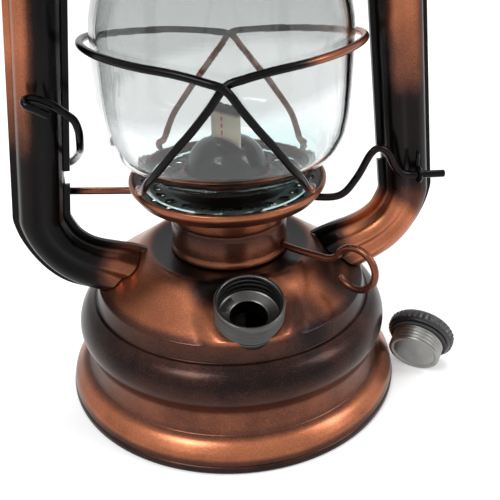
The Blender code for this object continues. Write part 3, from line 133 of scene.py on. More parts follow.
def rounded(points, radius, steps=4, closed=False):
    """The same outline with its corners rounded, each by less than half of its shorter side."""
    out = []
    count = len(points)
    for index in range(count):
        here = Vector(points[index])
        if not closed and index in (0, count - 1):
            out.append(here)
            continue
        before = Vector(points[index - 1]) - here
        after = Vector(points[(index + 1) % count]) - here
        reach = min(radius, before.length * 0.45, after.length * 0.45)
        start = here + before.normalized() * reach
        end = here + after.normalized() * reach
        for step in range(steps + 1):
            t = step / steps
            out.append(start * (1 - t) ** 2 + here * 2 * t * (1 - t) + end * t ** 2)
    return [tuple(point) for point in out]


def along(start, end, shares):
    return [
        (start[0] + (end[0] - start[0]) * across, start[1] + (end[1] - start[1]) * up)
        for across, up in shares
    ]


def polar(radius, degrees, height):
    angle = math.radians(degrees)
    return Vector((radius * math.cos(angle), radius * math.sin(angle), height))


# Meshes

def new_object(name, data):
    item = bpy.data.objects.new(name, data)
    bpy.context.scene.collection.objects.link(item)
    return item


def finish_mesh(mesh, sharp_deg=38.0):
    shape = bmesh.new()
    shape.from_mesh(mesh)
    bmesh.ops.remove_doubles(shape, verts=shape.verts, dist=1e-7)
    bmesh.ops.recalc_face_normals(shape, faces=shape.faces)
    shape.to_mesh(mesh)
    shape.free()
    mesh.shade_smooth()
    mesh.set_sharp_from_angle(angle=math.radians(sharp_deg))


def mesh_object(name, vertices, faces, sharp_deg=38.0):
    mesh = bpy.data.meshes.new(name)
    mesh.from_pydata([tuple(vertex) for vertex in vertices], [], faces)
    finish_mesh(mesh, sharp_deg)
    return new_object(name, mesh)


def turned(name, profile, steps=96, closed=True, place=None, ripple=None, sharp_deg=38.0):
    """A turned piece. ripple(index, angle) gives the radius that is taken off at a profile point."""
    vertices = []
    for step in range(steps):
        angle = math.tau * step / steps
        for index, (radius, height) in enumerate(profile):
            if ripple is not None:
                radius = radius - ripple(index, angle)
            vertex = Vector((radius * math.cos(angle), radius * math.sin(angle), height))
            vertices.append(place @ vertex if place is not None else vertex)
    width = len(profile)
    faces = []
    runs = width if closed else width - 1
    for step in range(steps):
        near = step * width
        far = (step + 1) % steps * width
        for index in range(runs):
            after = (index + 1) % width
            faces.append((near + index, near + after, far + after, far + index))
    return mesh_object(name, vertices, faces, sharp_deg)


def cut(item, cutters, sharp_deg=38.0):
    """Cuts closed shapes out of a piece for good."""
    for cutter in cutters:
        boolean = item.modifiers.new("Cut", "BOOLEAN")
        boolean.operation = "DIFFERENCE"
        boolean.solver = "EXACT"
        boolean.object = cutter
    bpy.context.view_layer.update()
    evaluated = item.evaluated_get(bpy.context.evaluated_depsgraph_get())
    mesh = bpy.data.meshes.new_from_object(evaluated)
    item.modifiers.clear()
    item.data = mesh
    mesh.shade_smooth()
    mesh.set_sharp_from_angle(angle=math.radians(sharp_deg))


def remove(items):
    for item in items:
        bpy.data.objects.remove(item, do_unlink=True)


def rods(name, lines, sides=24):
    """One mesh of straight rods, each given by its two ends and its radius."""
    mesh = bpy.data.meshes.new(name)
    shape = bmesh.new()
    for start, end, radius in lines:
        run = Vector(end) - Vector(start)
        turn = Vector((0, 0, 1)).rotation_difference(run).to_matrix().to_4x4()
        bmesh.ops.create_cone(
            shape, cap_ends=True, segments=sides, radius1=radius, radius2=radius, depth=run.length,
            matrix=Matrix.Translation(Vector(start) + run / 2) @ turn,
        )
    shape.to_mesh(mesh)
    shape.free()
    return new_object(name, mesh)


def block(name, low, high, place=None):
    low = Vector(low)
    high = Vector(high)
    mesh = bpy.data.meshes.new(name)
    shape = bmesh.new()
    matrix = Matrix.Translation((low + high) / 2) @ Matrix.Diagonal((*(high - low), 1.0))
    bmesh.ops.create_cube(shape, size=1.0, matrix=place @ matrix if place is not None else matrix)
    shape.to_mesh(mesh)
    shape.free()
    return new_object(name, mesh)


def wire(name, points, radius, cyclic=False, sides=5):
    """A round wire along the given points, with softly rounded ends."""
    points = [Vector(point) for point in points]
    sizes = [1.0] * len(points)
    if not cyclic:
        head = (points[1] - points[0]).normalized()
        tail = (points[-2] - points[-1]).normalized()
        extra = (0.12, 0.4)
        start = [points[0]] + [points[0] + head * radius * share for share in extra]
        end = [points[-1] + tail * radius * share for share in reversed(extra)] + [points[-1]]
        reach = radius * 0.5
        inner = [
            point for point in points[1:-1]
            if (point - points[0]).length > reach and (point - points[-1]).length > reach
        ]
        points = start + inner + end
        sizes = [0.62, 0.88, 1.0] + [1.0] * len(inner) + [1.0, 0.88, 0.62]
    curve = bpy.data.curves.new(name, "CURVE")
    curve.dimensions = "3D"
    curve.bevel_depth = radius
    curve.bevel_resolution = sides
    curve.use_fill_caps = True
    spline = curve.splines.new("POLY")
    spline.points.add(len(points) - 1)
    for point, place, size in zip(spline.points, points, sizes):
        point.co = (*place, 1.0)
        point.radius = size
    spline.use_cyclic_u = cyclic
    spline.use_smooth = True
    return new_object(name, curve)


def dress(item, body, slot, material, *nodes):
    """Gives a piece its body and its material, and hides the solids that it stands for. The slot is not
    used.
    """
    item.data.materials.clear()
    item.data.materials.append(material)
    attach(item, body)
    if nodes:
        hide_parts(*nodes)
    return item


# Materials

class Graph:
    """The nodes of one material, in the row frame's metres."""

    def __init__(self, name):
        self.material = bpy.data.materials.new(name)
        self.material.use_nodes = True
        self.nodes = self.material.node_tree.nodes
        self.links = self.material.node_tree.links
        self.shader = self.nodes["Principled BSDF"]
        self.place = self.nodes.new("ShaderNodeTexCoord").outputs["Object"]
        split = self.nodes.new("ShaderNodeSeparateXYZ")
        self.links.new(self.place, split.inputs[0])
        self.x, self.y, self.z = split.outputs

    def feed(self, value, socket):
        if isinstance(value, bpy.types.NodeSocket):
            self.links.new(value, socket)
        else:
            socket.default_value = value

    def set(self, **values):
        """Fixed values or sockets for the shader's inputs, by their names."""
        for name, value in values.items():
            self.feed(value, self.shader.inputs[name.replace("_", " ")])

    def math(self, operation, *values, clamp=False):
        node = self.nodes.new("ShaderNodeMath")
        node.operation = operation
        node.use_clamp = clamp
        for value, socket in zip(values, node.inputs):
            self.feed(value, socket)
        return node.outputs[0]

    def times(self, first, second):
        return self.math("MULTIPLY", first, second)

    def plus(self, first, second, clamp=False):
        return self.math("ADD", first, second, clamp=clamp)

    def less(self, first, second):
        return self.math("SUBTRACT", first, second)

    def highest(self, first, second):
        return self.math("MAXIMUM", first, second)

    def radius(self):
        """The distance from the upright axis."""
        return self.math("SQRT", self.plus(self.times(self.x, self.x), self.times(self.y, self.y)))

    def noise(self, scale, detail=2.0, rough=0.5, stretch=None):
        node = self.nodes.new("ShaderNodeTexNoise")
        node.inputs["Scale"].default_value = scale
        node.inputs["Detail"].default_value = detail
        node.inputs["Roughness"].default_value = rough
        vector = self.place
        if stretch is not None:
            mapping = self.nodes.new("ShaderNodeMapping")
            mapping.inputs["Scale"].default_value = stretch
            self.links.new(self.place, mapping.inputs["Vector"])
            vector = mapping.outputs[0]
        self.links.new(vector, node.inputs["Vector"])
        return node.outputs[0]

    def span(self, value, low, high, start=0.0, end=1.0):
        """value goes smoothly from start at low to end at high."""
        node = self.nodes.new("ShaderNodeMapRange")
        node.interpolation_type = "SMOOTHSTEP"
        self.feed(value, node.inputs["Value"])
        node.inputs["From Min"].default_value = low
        node.inputs["From Max"].default_value = high
        node.inputs["To Min"].default_value = start
        node.inputs["To Max"].default_value = end
        return node.outputs[0]

    def curve(self, value, points):
        """A smooth curve through (place, value) points."""
        low = points[0][0]
        high = points[-1][0]
        node = self.nodes.new("ShaderNodeMapRange")
        self.feed(value, node.inputs["Value"])
        node.inputs["From Min"].default_value = low
        node.inputs["From Max"].default_value = high
        ramp = self.nodes.new("ShaderNodeValToRGB")
        self.links.new(node.outputs[0], ramp.inputs[0])
        ramp.color_ramp.interpolation = "EASE"
        elements = ramp.color_ramp.elements
        while len(elements) < len(points):
            elements.new(0.5)
        for element, (place, level) in zip(elements, points):
            element.position = (place - low) / (high - low)
            element.color = (level, level, level, 1.0)
        return ramp.outputs[0]

    def colours(self, value, stops):
        ramp = self.nodes.new("ShaderNodeValToRGB")
        self.feed(value, ramp.inputs[0])
        elements = ramp.color_ramp.elements
        while len(elements) < len(stops):
            elements.new(0.5)
        for element, (place, colour) in zip(elements, stops):
            element.position = place
            element.color = (*colour, 1.0)
        return ramp.outputs[0]

    def spot(self, centre, near, far, stretch=(1.0, 1.0, 1.0)):
        """1 within the near radius of a point, 0 beyond the far one: a soft round patch."""
        scaled = self.nodes.new("ShaderNodeVectorMath")
        scaled.operation = "MULTIPLY"
        self.links.new(self.place, scaled.inputs[0])
        scaled.inputs[1].default_value = stretch
        distance = self.nodes.new("ShaderNodeVectorMath")
        distance.operation = "DISTANCE"
        self.links.new(scaled.outputs[0], distance.inputs[0])
        distance.inputs[1].default_value = [a * b for a, b in zip(centre, stretch)]
        return self.span(distance.outputs["Value"], near, far, 1.0, 0.0)

    def line(self, value, centre, half):
        """1 near a line across value, 0 beyond half its width."""
        away = self.math("ABSOLUTE", self.less(value, centre))
        return self.span(away, half * 0.6, half, 1.0, 0.0)

    def mix(self, share, first, second):
        node = self.nodes.new("ShaderNodeMix")
        node.data_type = "RGBA"
        self.feed(share, node.inputs[0])
        self.feed(first, node.inputs[6])
        self.feed(second, node.inputs[7])
        return node.outputs[2]

    def bump(self, height, distance, strength=1.0):
        node = self.nodes.new("ShaderNodeBump")
        node.inputs["Distance"].default_value = distance
        node.inputs["Strength"].default_value = strength
        self.links.new(height, node.inputs["Height"])
        self.links.new(node.outputs[0], self.shader.inputs["Normal"])


COPPER_STOPS = (
    (0.0, (0.0025, 0.002, 0.002)),
    (0.25, (0.011, 0.006, 0.0055)),
    (0.55, (0.092, 0.034, 0.022)),
    (0.8, (0.26, 0.088, 0.043)),
    (1.0, (0.45, 0.155, 0.075)),
)


def antique(name, build_mask, grain=0.38, rough=0.30):
    """Copper lacquer shaded with black by a spray gun, with a fine metal grain; on the tank the mask also
    carries painted shade, and on the plate's step a painted highlight.
    """
    graph = Graph(name)
    mask = build_mask(graph)
    fine = graph.noise(2600.0, 2.0, 0.6)
    broad = graph.noise(90.0, 3.0, 0.55)
    speckle = graph.times(graph.less(fine, 0.5), grain)
    cloud = graph.times(graph.less(broad, 0.5), 0.3)
    mask = graph.plus(mask, graph.plus(speckle, cloud), clamp=True)
    graph.set(Base_Color=graph.colours(mask, COPPER_STOPS))
    graph.set(Metallic=graph.math("MULTIPLY_ADD", mask, 0.35, 0.62))
    roughness = graph.math("MULTIPLY_ADD", fine, 0.12, rough - 0.06)
    graph.set(Roughness=roughness)
    graph.set(Coat_Weight=0.06, Coat_Roughness=0.10, Specular_IOR_Level=0.18)
    graph.bump(fine, 0.00003, 0.7)
    return graph.material


def tank_mask(graph):
    radius = graph.radius()
    side = graph.curve(graph.z, (
        (0.0, 0.30), (0.0038, 0.45), (0.0058, 0.86), (0.0085, 0.90), (0.0104, 0.55), (0.0125, 0.62),
        (0.016, 0.64), (0.0195, 0.56), (0.023, 0.38), (0.0275, 0.28), (0.0315, 0.30), (0.0345, 0.36),
        (0.038, 0.40), (0.040, 0.80), (0.046, 0.86), (0.0495, 0.62),
    ))
    # Painted shade: the trough round the collar's foot, inside the dome's ridge, is darkened.
    painted_trough_shade = graph.span(radius, 0.0238, 0.0264, 0.12, 1.0)
    mask = graph.times(side, painted_trough_shade)
    shade_right = graph.spot((0.034, -0.014, 0.041), 0.006, 0.018)
    # Painted shade: the recess of the pressed seat beside the filler neck is darkened.
    painted_neck_recess_shade = graph.spot((-0.008, -0.026, 0.0475), 0.003, 0.010)
    shade_front = graph.spot((0.016, -0.036, 0.040), 0.004, 0.012)
    shade_left = graph.spot((-0.050, 0.0, 0.020), 0.010, 0.034)
    dark = graph.times(shade_right, 0.75)
    dark = graph.highest(dark, graph.times(painted_neck_recess_shade, 0.8))
    dark = graph.highest(dark, graph.times(shade_front, 0.45))
    dark = graph.highest(dark, graph.times(shade_left, 0.2))
    return graph.times(mask, graph.less(1.0, dark))


def tube_share(graph):
    """0 at a side tube's inner edge and 1 at its outer edge, along the straight run."""
    reach = graph.math("ABSOLUTE", graph.x)
    inner = graph.math("MULTIPLY_ADD", graph.z, -TUBE_LEAN_SHARE, 0.049 + 0.064 * TUBE_LEAN_SHARE)
    return graph.math("DIVIDE", graph.less(reach, inner), TUBE_WIDTH)


def left_tube_mask(graph):
    share = tube_share(graph)
    outer = graph.span(share, 0.42, 0.72)
    level = graph.curve(graph.z, (
        (0.036, 0.55), (0.050, 0.10), (0.062, 0.06), (0.080, 0.10), (0.095, 0.62), (0.118, 0.92),
        (0.150, 0.80), (0.185, 0.35), (0.205, 0.2),
    ))
    mask = graph.times(outer, level)
    landing = graph.spot((-0.033, -0.006, 0.045), 0.005, 0.014)
    return graph.highest(mask, graph.times(landing, 0.72))


def right_tube_mask(graph):
    share = tube_share(graph)
    middle = graph.times(graph.span(share, 0.05, 0.35), graph.span(share, 0.62, 0.95, 1.0, 0.12))
    level = graph.curve(graph.z, (
        (0.036, 0.85), (0.050, 0.80), (0.062, 0.45), (0.072, 0.10), (0.092, 0.14), (0.104, 0.62),
        (0.122, 0.85), (0.150, 0.80), (0.185, 0.35), (0.205, 0.2),
    ))
    mask = graph.times(middle, level)
    bend = graph.spot((0.049, -0.006, 0.050), 0.009, 0.019)
    return graph.highest(mask, graph.times(bend, 0.92))


def collar_mask(graph):
    edges = graph.curve(graph.z, (
        (0.0485, 0.85), (0.054, 0.62), (0.0585, 0.42), (0.0605, 0.75), (0.066, 0.92), (0.0685, 0.75),
    ))
    side = graph.span(graph.x, -0.022, 0.004, 0.72, 1.0)
    return graph.times(edges, side)


def plate_mask(graph):
    return graph.curve(graph.radius(), (
        (0.012, 0.45), (0.017, 0.20), (0.019, 0.10), (0.0275, 0.16), (0.0292, 0.55), (0.0307, 0.80),
    ))


def hood_mask(graph):
    height = graph.curve(graph.z, (
        (0.145, 0.85), (0.157, 0.55), (0.172, 0.15), (0.185, 0.75), (0.196, 0.9), (0.202, 0.5),
        (0.210, 0.8), (0.219, 0.55),
    ))
    side = graph.spot((-0.02, -0.03, 0.19), 0.02, 0.06)
    return graph.times(height, graph.math("MULTIPLY_ADD", side, 0.4, 0.6))


def guard_mask(graph):
    foot = graph.span(graph.z, 0.075, 0.081, 0.85, 0.0)
    right = graph.times(graph.span(graph.x, 0.012, 0.022), graph.span(graph.z, 0.108, 0.113))
    rear = graph.times(graph.span(graph.y, 0.008, 0.020), graph.span(graph.z, 0.104, 0.109, 1.0, 0.1))
    mask = graph.highest(foot, graph.times(right, 0.8))
    return graph.highest(mask, graph.times(rear, 0.7))


def lever_mask(graph):
    run = graph.times(graph.span(graph.x, -0.050, -0.044), graph.span(graph.x, -0.03, -0.02, 1.0, 0.3))
    low = graph.span(graph.z, 0.070, 0.074, 0.65, 0.0)
    right = graph.spot((0.046, -0.010, 0.076), 0.003, 0.010)
    mask = graph.times(run, low)
    return graph.highest(mask, graph.times(right, 0.30))


def knob_mask(graph):
    return graph.span(graph.z, 0.040, 0.056, 0.46, 0.66)


def plain_metal(name, colour, rough, metallic=1.0, scratch=0.1):
    """Bare or plated metal with a faint brushed grain and cloudy tone."""
    graph = Graph(name)
    fine = graph.noise(1500.0, 3.0, 0.6, (1.0, 1.0, 5.0))
    broad = graph.noise(160.0, 3.0, 0.6)
    tone = graph.plus(graph.times(fine, 0.4), graph.times(broad, 0.6))
    dark = tuple(channel * 0.72 for channel in colour)
    light = tuple(min(1.0, channel * 1.2) for channel in colour)
    graph.set(Base_Color=graph.colours(tone, ((0.3, dark), (0.7, light))))
    graph.set(Roughness=graph.math("MULTIPLY_ADD", fine, scratch, rough))
    graph.set(Metallic=metallic)
    graph.bump(fine, 0.00002, 0.4)
    return graph.material


def black_enamel():
    graph = Graph("black enamel")
    fine = graph.noise(500.0, 2.0, 0.5)
    colour = graph.colours(fine, ((0.35, (0.002, 0.002, 0.002)), (0.75, (0.005, 0.0045, 0.0045))))
    graph.set(Base_Color=colour)
    graph.set(Roughness=graph.math("MULTIPLY_ADD", fine, 0.05, 0.08))
    graph.set(Specular_IOR_Level=0.25)
    graph.bump(fine, 0.000002, 0.1)
    return graph.material


def black_plastic():
    graph = Graph("black plastic")
    fine = graph.noise(2200.0, 2.0, 0.6)
    colour = graph.colours(fine, ((0.3, (0.010, 0.010, 0.011)), (0.8, (0.024, 0.023, 0.023))))
    graph.set(Base_Color=colour)
    graph.set(Roughness=graph.math("MULTIPLY_ADD", fine, 0.18, 0.26))
    graph.bump(fine, 0.00003, 0.5)
    return graph.material


def rubber():
    graph = Graph("rubber")
    fine = graph.noise(1800.0, 2.0, 0.6)
    colour = graph.colours(fine, ((0.3, (0.018, 0.018, 0.018)), (0.8, (0.04, 0.04, 0.04))))
    graph.set(Base_Color=colour)
    graph.set(Roughness=0.75)
    graph.bump(fine, 0.00003, 0.5)
    return graph.material


def glass_with_painted_shade():
    graph = Graph("glass with painted shade")
    waves = graph.noise(45.0, 1.0, 0.4)
    # The tint runs from pale green at the foot to clear, then greys towards the top and the left; that grey
    # is painted shade.
    tint_and_shade_slant = graph.math("MULTIPLY_ADD", graph.x, -0.14, graph.z)
    share = graph.span(tint_and_shade_slant, 0.0700, 0.1200)
    colour = graph.colours(share, (
        (0.0, (0.62, 0.84, 0.82)), (0.08, (0.84, 0.90, 0.895)), (0.16, (0.88, 0.895, 0.90)),
        (0.66, (0.86, 0.875, 0.88)), (0.78, (0.63, 0.65, 0.645)),
    ))
    graph.set(Base_Color=colour)
    graph.set(Roughness=0.0, IOR=1.46, Transmission_Weight=1.0)
    graph.bump(waves, 0.0003, 0.25)
    return graph.material


def cotton():
    """Woven wick: ecru threads, one red tracer, and charred ends above."""
    graph = Graph("cotton")
    turn = graph.nodes.new("ShaderNodeMapping")
    turn.vector_type = "POINT"
    turn.inputs["Rotation"].default_value = (0.0, 0.0, -math.radians(BURNER_LINE_DEG))
    graph.links.new(graph.place, turn.inputs["Vector"])
    split = graph.nodes.new("ShaderNodeSeparateXYZ")
    graph.links.new(turn.outputs[0], split.inputs[0])
    across = split.outputs[0]
    warp = graph.math("SINE", graph.times(across, math.tau / 0.0009))
    weft = graph.math("SINE", graph.times(graph.z, math.tau / 0.0011))
    weave = graph.math("MULTIPLY_ADD", graph.times(warp, weft), 0.5, 0.5)
    fuzz = graph.noise(2400.0, 3.0, 0.65)
    tone = graph.plus(graph.times(weave, 0.5), graph.times(fuzz, 0.5))
    plain = graph.colours(tone, ((0.2, (0.40, 0.33, 0.22)), (0.8, (0.78, 0.72, 0.58))))
    stripe = graph.line(across, -0.0010, 0.00045)
    dash = graph.math("GREATER_THAN", graph.math("SINE", graph.times(graph.z, math.tau / 0.0022)), -0.35)
    red = graph.times(stripe, dash)
    mixed = graph.mix(red, plain, (0.55, 0.03, 0.03, 1.0))
    char = graph.plus(graph.span(graph.z, 0.0905, 0.0950), graph.times(fuzz, 0.35))
    char = graph.span(char, 0.35, 0.85)
    mixed = graph.mix(char, mixed, (0.035, 0.025, 0.02, 1.0))
    graph.set(Base_Color=mixed)
    graph.set(Roughness=0.92, Sheen_Weight=0.3, Sheen_Roughness=0.5)
    graph.bump(tone, 0.0002, 0.8)
    return graph.material


TANK_LACQUER_AND_PAINTED_SHADE = antique("tank lacquer and painted shade", tank_mask)
LEFT_FINISH = antique("left tube lacquer", left_tube_mask)
RIGHT_FINISH = antique("right tube lacquer", right_tube_mask)
COLLAR_FINISH = antique("collar lacquer", collar_mask)
PLATE_FINISH = antique("plate lacquer", plate_mask)
HOOD_FINISH = antique("hood lacquer", hood_mask)
GUARD_FINISH = antique("guard lacquer", guard_mask, 0.1, 0.24)
LEVER_FINISH = antique("lever lacquer", lever_mask, 0.08, 0.2)
KNOB_FINISH = antique("knob lacquer", knob_mask, 0.12, 0.28)
DARK_FINISH = antique("dark lacquer", lambda graph: graph.span(graph.z, 0.0, 0.3, 0.08, 0.16), 0.08, 0.24)
FOOT_FINISH = antique("foot lacquer", lambda graph: graph.span(graph.z, 0.0, 0.004, 0.2, 0.4), 0.15, 0.36)
ZINC = plain_metal("zinc", (0.30, 0.295, 0.285), 0.30)
DARK_ZINC = plain_metal("dark zinc", (0.085, 0.083, 0.080), 0.26)
STEEL = plain_metal("steel", (0.42, 0.42, 0.42), 0.28)
# The step is dark with a copper top edge, and that edge is a painted highlight.
STEP_LACQUER_AND_PAINTED_HIGHLIGHT = antique("step lacquer and painted highlight", lambda graph: graph.span(graph.z, 0.0725, 0.0745, 0.12, 0.6))
ENAMEL = black_enamel()
PLASTIC = black_plastic()
RUBBER = rubber()
GLASS = glass_with_painted_shade()
COTTON = cotton()


# Tank

def tank_outline():
    """The tank's outer side from the dome's mouth down to the foot."""
    ridge = (0.0262, 0.0492)
    edge = (0.0432, 0.0378)
    dome = [ridge] + along(ridge, edge, (
        (0.05, 0.02), (0.14, 0.09), (0.35, 0.31), (0.6, 0.58), (0.82, 0.81), (1.0, 1.0),
    ))
    waist = [
        (0.0452, 0.0328), (0.04785, 0.03086), (0.04944, 0.02858), (0.05018, 0.02664), (0.0505, 0.024),
        (0.05017, 0.02213), (0.04929, 0.02018), (0.04841, 0.01762), (0.0483, 0.0155), (0.0485, 0.0126),
        (0.0490, 0.0103),
    ]
    flank = [(0.0490, 0.0103), (0.05099, 0.00925), (0.05299, 0.00715), (0.05413, 0.00554), (0.0547, 0.0033)]
    points = [(0.0150, 0.0486), (0.0205, 0.0486), (0.0234, 0.0489)]
    points += smooth(dome, 0.0008)
    points += [(0.0443, 0.0328)]
    points += smooth(waist, 0.0008)
    points += smooth(flank, 0.0008)[1:]
    return points


def make_tank():
    outer = rounded(tank_outline(), 0.0005, 3)
    inner = [
        (0.0539, 0.0033), (0.0482, 0.0099), (0.0475, 0.0155), (0.0497, 0.024), (0.0444, 0.0312),
        (0.0427, 0.0328), (0.0424, 0.0370), (0.0389, 0.0390), (0.0314, 0.0449), (0.0250, 0.0484),
        (0.0150, 0.0478),
    ]
    tank = turned("tank_shell", outer + inner, 160)
    inverse = NECK_FRAME.inverted()
    seat = -0.0060
    for vertex in tank.data.vertices:
        if vertex.co.z < 0.034 or vertex.co.y > -0.015:
            continue
        local = inverse @ vertex.co
        reach = math.hypot(local.x, local.y)
        share = min(1.0, max(0.0, (0.0165 - reach) / 0.0045))
        share = share * share * (3 - 2 * share)
        is_inner = math.hypot(vertex.co.x, vertex.co.y) < 0.0426 and local.z < seat - 0.0075
        if share > 0 and not is_inner and abs(local.z - seat) < 0.006:
            local.z += (seat - local.z) * share * 0.75
            vertex.co = NECK_FRAME @ local
    tank.data.update()
    hole = rods("hole", [(NECK_FRAME @ Vector((0, 0, -0.02)), NECK_FRAME @ Vector((0, 0, 0.0)), 0.0099)], 48)
    cut(tank, [hole], 30.0)
    remove([hole])
    dress(tank, "lantern", "copper", TANK_LACQUER_AND_PAINTED_SHADE, "tank_body")

    roll = 0.003
    foot = [
        (0.0004, 0.0012), (0.0490, 0.0012), (0.05125, roll), (0.05425, roll), (0.055, roll * 0.75),
        (0.055, roll * 0.25), (0.05425, 0.0), (0.0505, 0.0), (0.0499, 0.0006), (0.0461, 0.0006),
        (0.0455, 0.0), (0.0004, 0.0),
    ]
    base = turned("tank_foot", rounded(foot, 0.0007, 4, True), 160)
    dress(base, "lantern", "dark_copper", FOOT_FINISH, "tank_bottom")


def thread_ripple(rows, pitch, depth, top, bottom):
    """A rolled thread: one helix that fades out at both ends."""
    def ripple(index, angle):
        height = rows.get(index)
        if height is None:
            return 0.0
        ramp = pitch * 0.4
        fade = min(1.0, max(0.0, (top - height) / ramp), max(0.0, (height - bottom) / ramp))
        wave = 0.5 - 0.5 * math.cos(math.tau * height / pitch + angle)
        return depth * wave * max(0.0, fade)
    return ripple


def make_neck():
    outer_radius = 0.0104
    bore = 0.0090
    profile = rounded([
        (bore, -0.0008), (bore + 0.0003, 0.0), (outer_radius - 0.0003, 0.0), (outer_radius, -0.0008),
    ], 0.0004, 3)
    rows = {}
    for step in range(1, 60):
        height = -0.0008 - 0.0072 * step / 60
        rows[len(profile)] = height
        profile.append((outer_radius, height))
    profile += [(outer_radius, -0.0085), (outer_radius, -0.0125), (0.0056, -0.0125), (0.0056, -0.0072)]
    profile += [(0.0060, -0.0069), (bore - 0.0004, -0.0068)]
    inner = {}
    for step in range(1, 40):
        height = -0.0066 + 0.0056 * step / 40
        inner[len(profile)] = height
        profile.append((bore, height))
    outer_ripple = thread_ripple(rows, 0.0019, 0.00062, -0.0006, -0.0078)
    inner_ripple = thread_ripple(inner, 0.0019, -0.00035, -0.0009, -0.0066)
    neck = turned(
        "neck", profile, 96, place=NECK_FRAME,
        ripple=lambda index, angle: outer_ripple(index, angle) + inner_ripple(index, angle),
    )
    dress(neck, "lantern", "zinc", DARK_ZINC, "filler_neck")


def make_cap():
    tilt = math.atan2(HEAD_RADIUS - PLUG_RADIUS, PLUG_LENGTH)
    place = (
        Matrix.Translation(polar(CAP_REACH, CAP_BEARING_DEG, HEAD_RADIUS * math.cos(tilt)))
        @ Matrix.Rotation(math.radians(CAP_TURN_DEG), 4, "Z")
        @ Matrix.Rotation(-math.pi / 2 + tilt, 4, "Y")
    )
    radius = HEAD_RADIUS
    top = HEAD_THICKNESS
    core = rounded([
        (0.0002, 0.0), (radius - 0.0012, 0.0), (radius - 0.0008, 0.0006), (radius, 0.0009),
        (radius, top - 0.0009),
        (radius - 0.0009, top), (radius - 0.0030, top), (radius - 0.0034, top - 0.0004),
        (0.0002, top - 0.0004),
    ], 0.00025, 3)
    ribbed = {index for index, (reach, height) in enumerate(core) if reach > radius - 0.0002}

    def knurl(index, angle):
        if index not in ribbed:
            return 0.0
        return 0.0004 * (0.5 - 0.5 * math.cos(36 * angle))

    head = turned("cap_knob", core, 288, place=place, ripple=knurl)
    dress(head, "filler_cap", "black_plastic", PLASTIC, "cap_head")

    end = -PLUG_LENGTH
    profile = [(0.0002, -0.0003), (PLUG_RADIUS - 0.0006, -0.0003), (PLUG_RADIUS - 0.0006, -0.0012)]
    rows = {}
    for step in range(70):
        height = -0.0012 + (end + 0.0015) * step / 70
        rows[len(profile)] = height
        profile.append((PLUG_RADIUS, height))
    profile += rounded([
        (PLUG_RADIUS, end + 0.0003), (PLUG_RADIUS - 0.0002, end), (PLUG_RADIUS - 0.0010, end),
        (PLUG_RADIUS - 0.0016, end + 0.0005), (0.0002, end + 0.0003),
    ], 0.0003, 3)
    ripple = thread_ripple(rows, 0.0013, 0.0006, -0.0010, end + 0.0002)
    plug = turned("cap_screw", profile, 96, place=place, ripple=ripple)
    dress(plug, "filler_cap", "zinc", ZINC, "cap_plug")

    inner = PLUG_RADIUS - 0.0003
    ring = rounded([
        (inner + 0.0013, -0.0003), (inner + 0.0013, -0.0012), (inner, -0.0012), (inner, -0.0003),
    ], 0.0003, 3, True)
    gasket = turned("cap_seal", ring, 64, place=place)
    dress(gasket, "filler_cap", "rubber", RUBBER, "cap_gasket")


# Side tubes

def tube_line(height):
    inner = 0.049 - (height - 0.064) * TUBE_LEAN_SHARE
    return inner, inner + TUBE_WIDTH


def tube_rings():
    """Rings from the air chamber down to the dome: inner edge, outer edge and half depth."""
    top_inner, top_outer = tube_line(TUBE_STRAIGHT_TOP)
    foot_inner, foot_outer = tube_line(TUBE_STRAIGHT_FOOT)
    upper_inner = along(
        (top_inner, TUBE_STRAIGHT_TOP), (0.0332, 0.1855),
        ((0.06, 0.25), (0.22, 0.55), (0.54, 0.84), (1.0, 1.0)),
    )
    upper_outer = along(
        (top_outer, TUBE_STRAIGHT_TOP), (0.0332, 0.199),
        ((0.07, 0.46), (0.3, 0.81), (0.63, 0.97), (1.0, 1.0)),
    )
    lower_inner = along(
        (foot_inner, TUBE_STRAIGHT_FOOT), (0.0252, 0.0487),
        ((0.03, 0.16), (0.11, 0.39), (0.26, 0.59), (0.47, 0.725), (0.76, 0.83), (1.0, 1.0)),
    )
    lower_outer = along(
        (foot_outer, TUBE_STRAIGHT_FOOT), (0.0455, 0.037),
        ((0.035, 0.17), (0.11, 0.34), (0.23, 0.525), (0.4, 0.71), (0.65, 0.88), (1.0, 1.0)),
    )
    rings = []
    for index in reversed(range(4)):
        depth = TUBE_HALF_DEPTH + (0.0064 - TUBE_HALF_DEPTH) * (index + 1) / 4
        rings.append((*upper_inner[index], *upper_outer[index], depth))
    for height in (TUBE_STRAIGHT_TOP, 0.176, 0.172, 0.150, 0.110, 0.072, 0.066, TUBE_STRAIGHT_FOOT):
        inner, outer = tube_line(height)
        rings.append((inner, height, outer, height, TUBE_HALF_DEPTH))
    for index in range(6):
        depth = TUBE_HALF_DEPTH + (0.0088 - TUBE_HALF_DEPTH) * ((index + 1) / 6) ** 2
        rings.append((*lower_inner[index], *lower_outer[index], depth))
    return rings


def tube_section():
    """Across and rise of one pressed half: flat flanges, steep sides and two flutes."""
    pressed = smooth([
        (0.1, 0.0), (0.14, 0.5), (0.24, 0.87), (0.36, 1.0), (0.46, 0.89), (0.5, 0.86), (0.54, 0.89),
        (0.64, 1.0), (0.76, 0.87), (0.86, 0.5), (0.9, 0.0),
    ], 0.05)
    return [(0.0, 0.0), (0.05, 0.0), (0.092, 0.0)] + pressed + [(0.908, 0.0), (0.95, 0.0), (1.0, 0.0)]


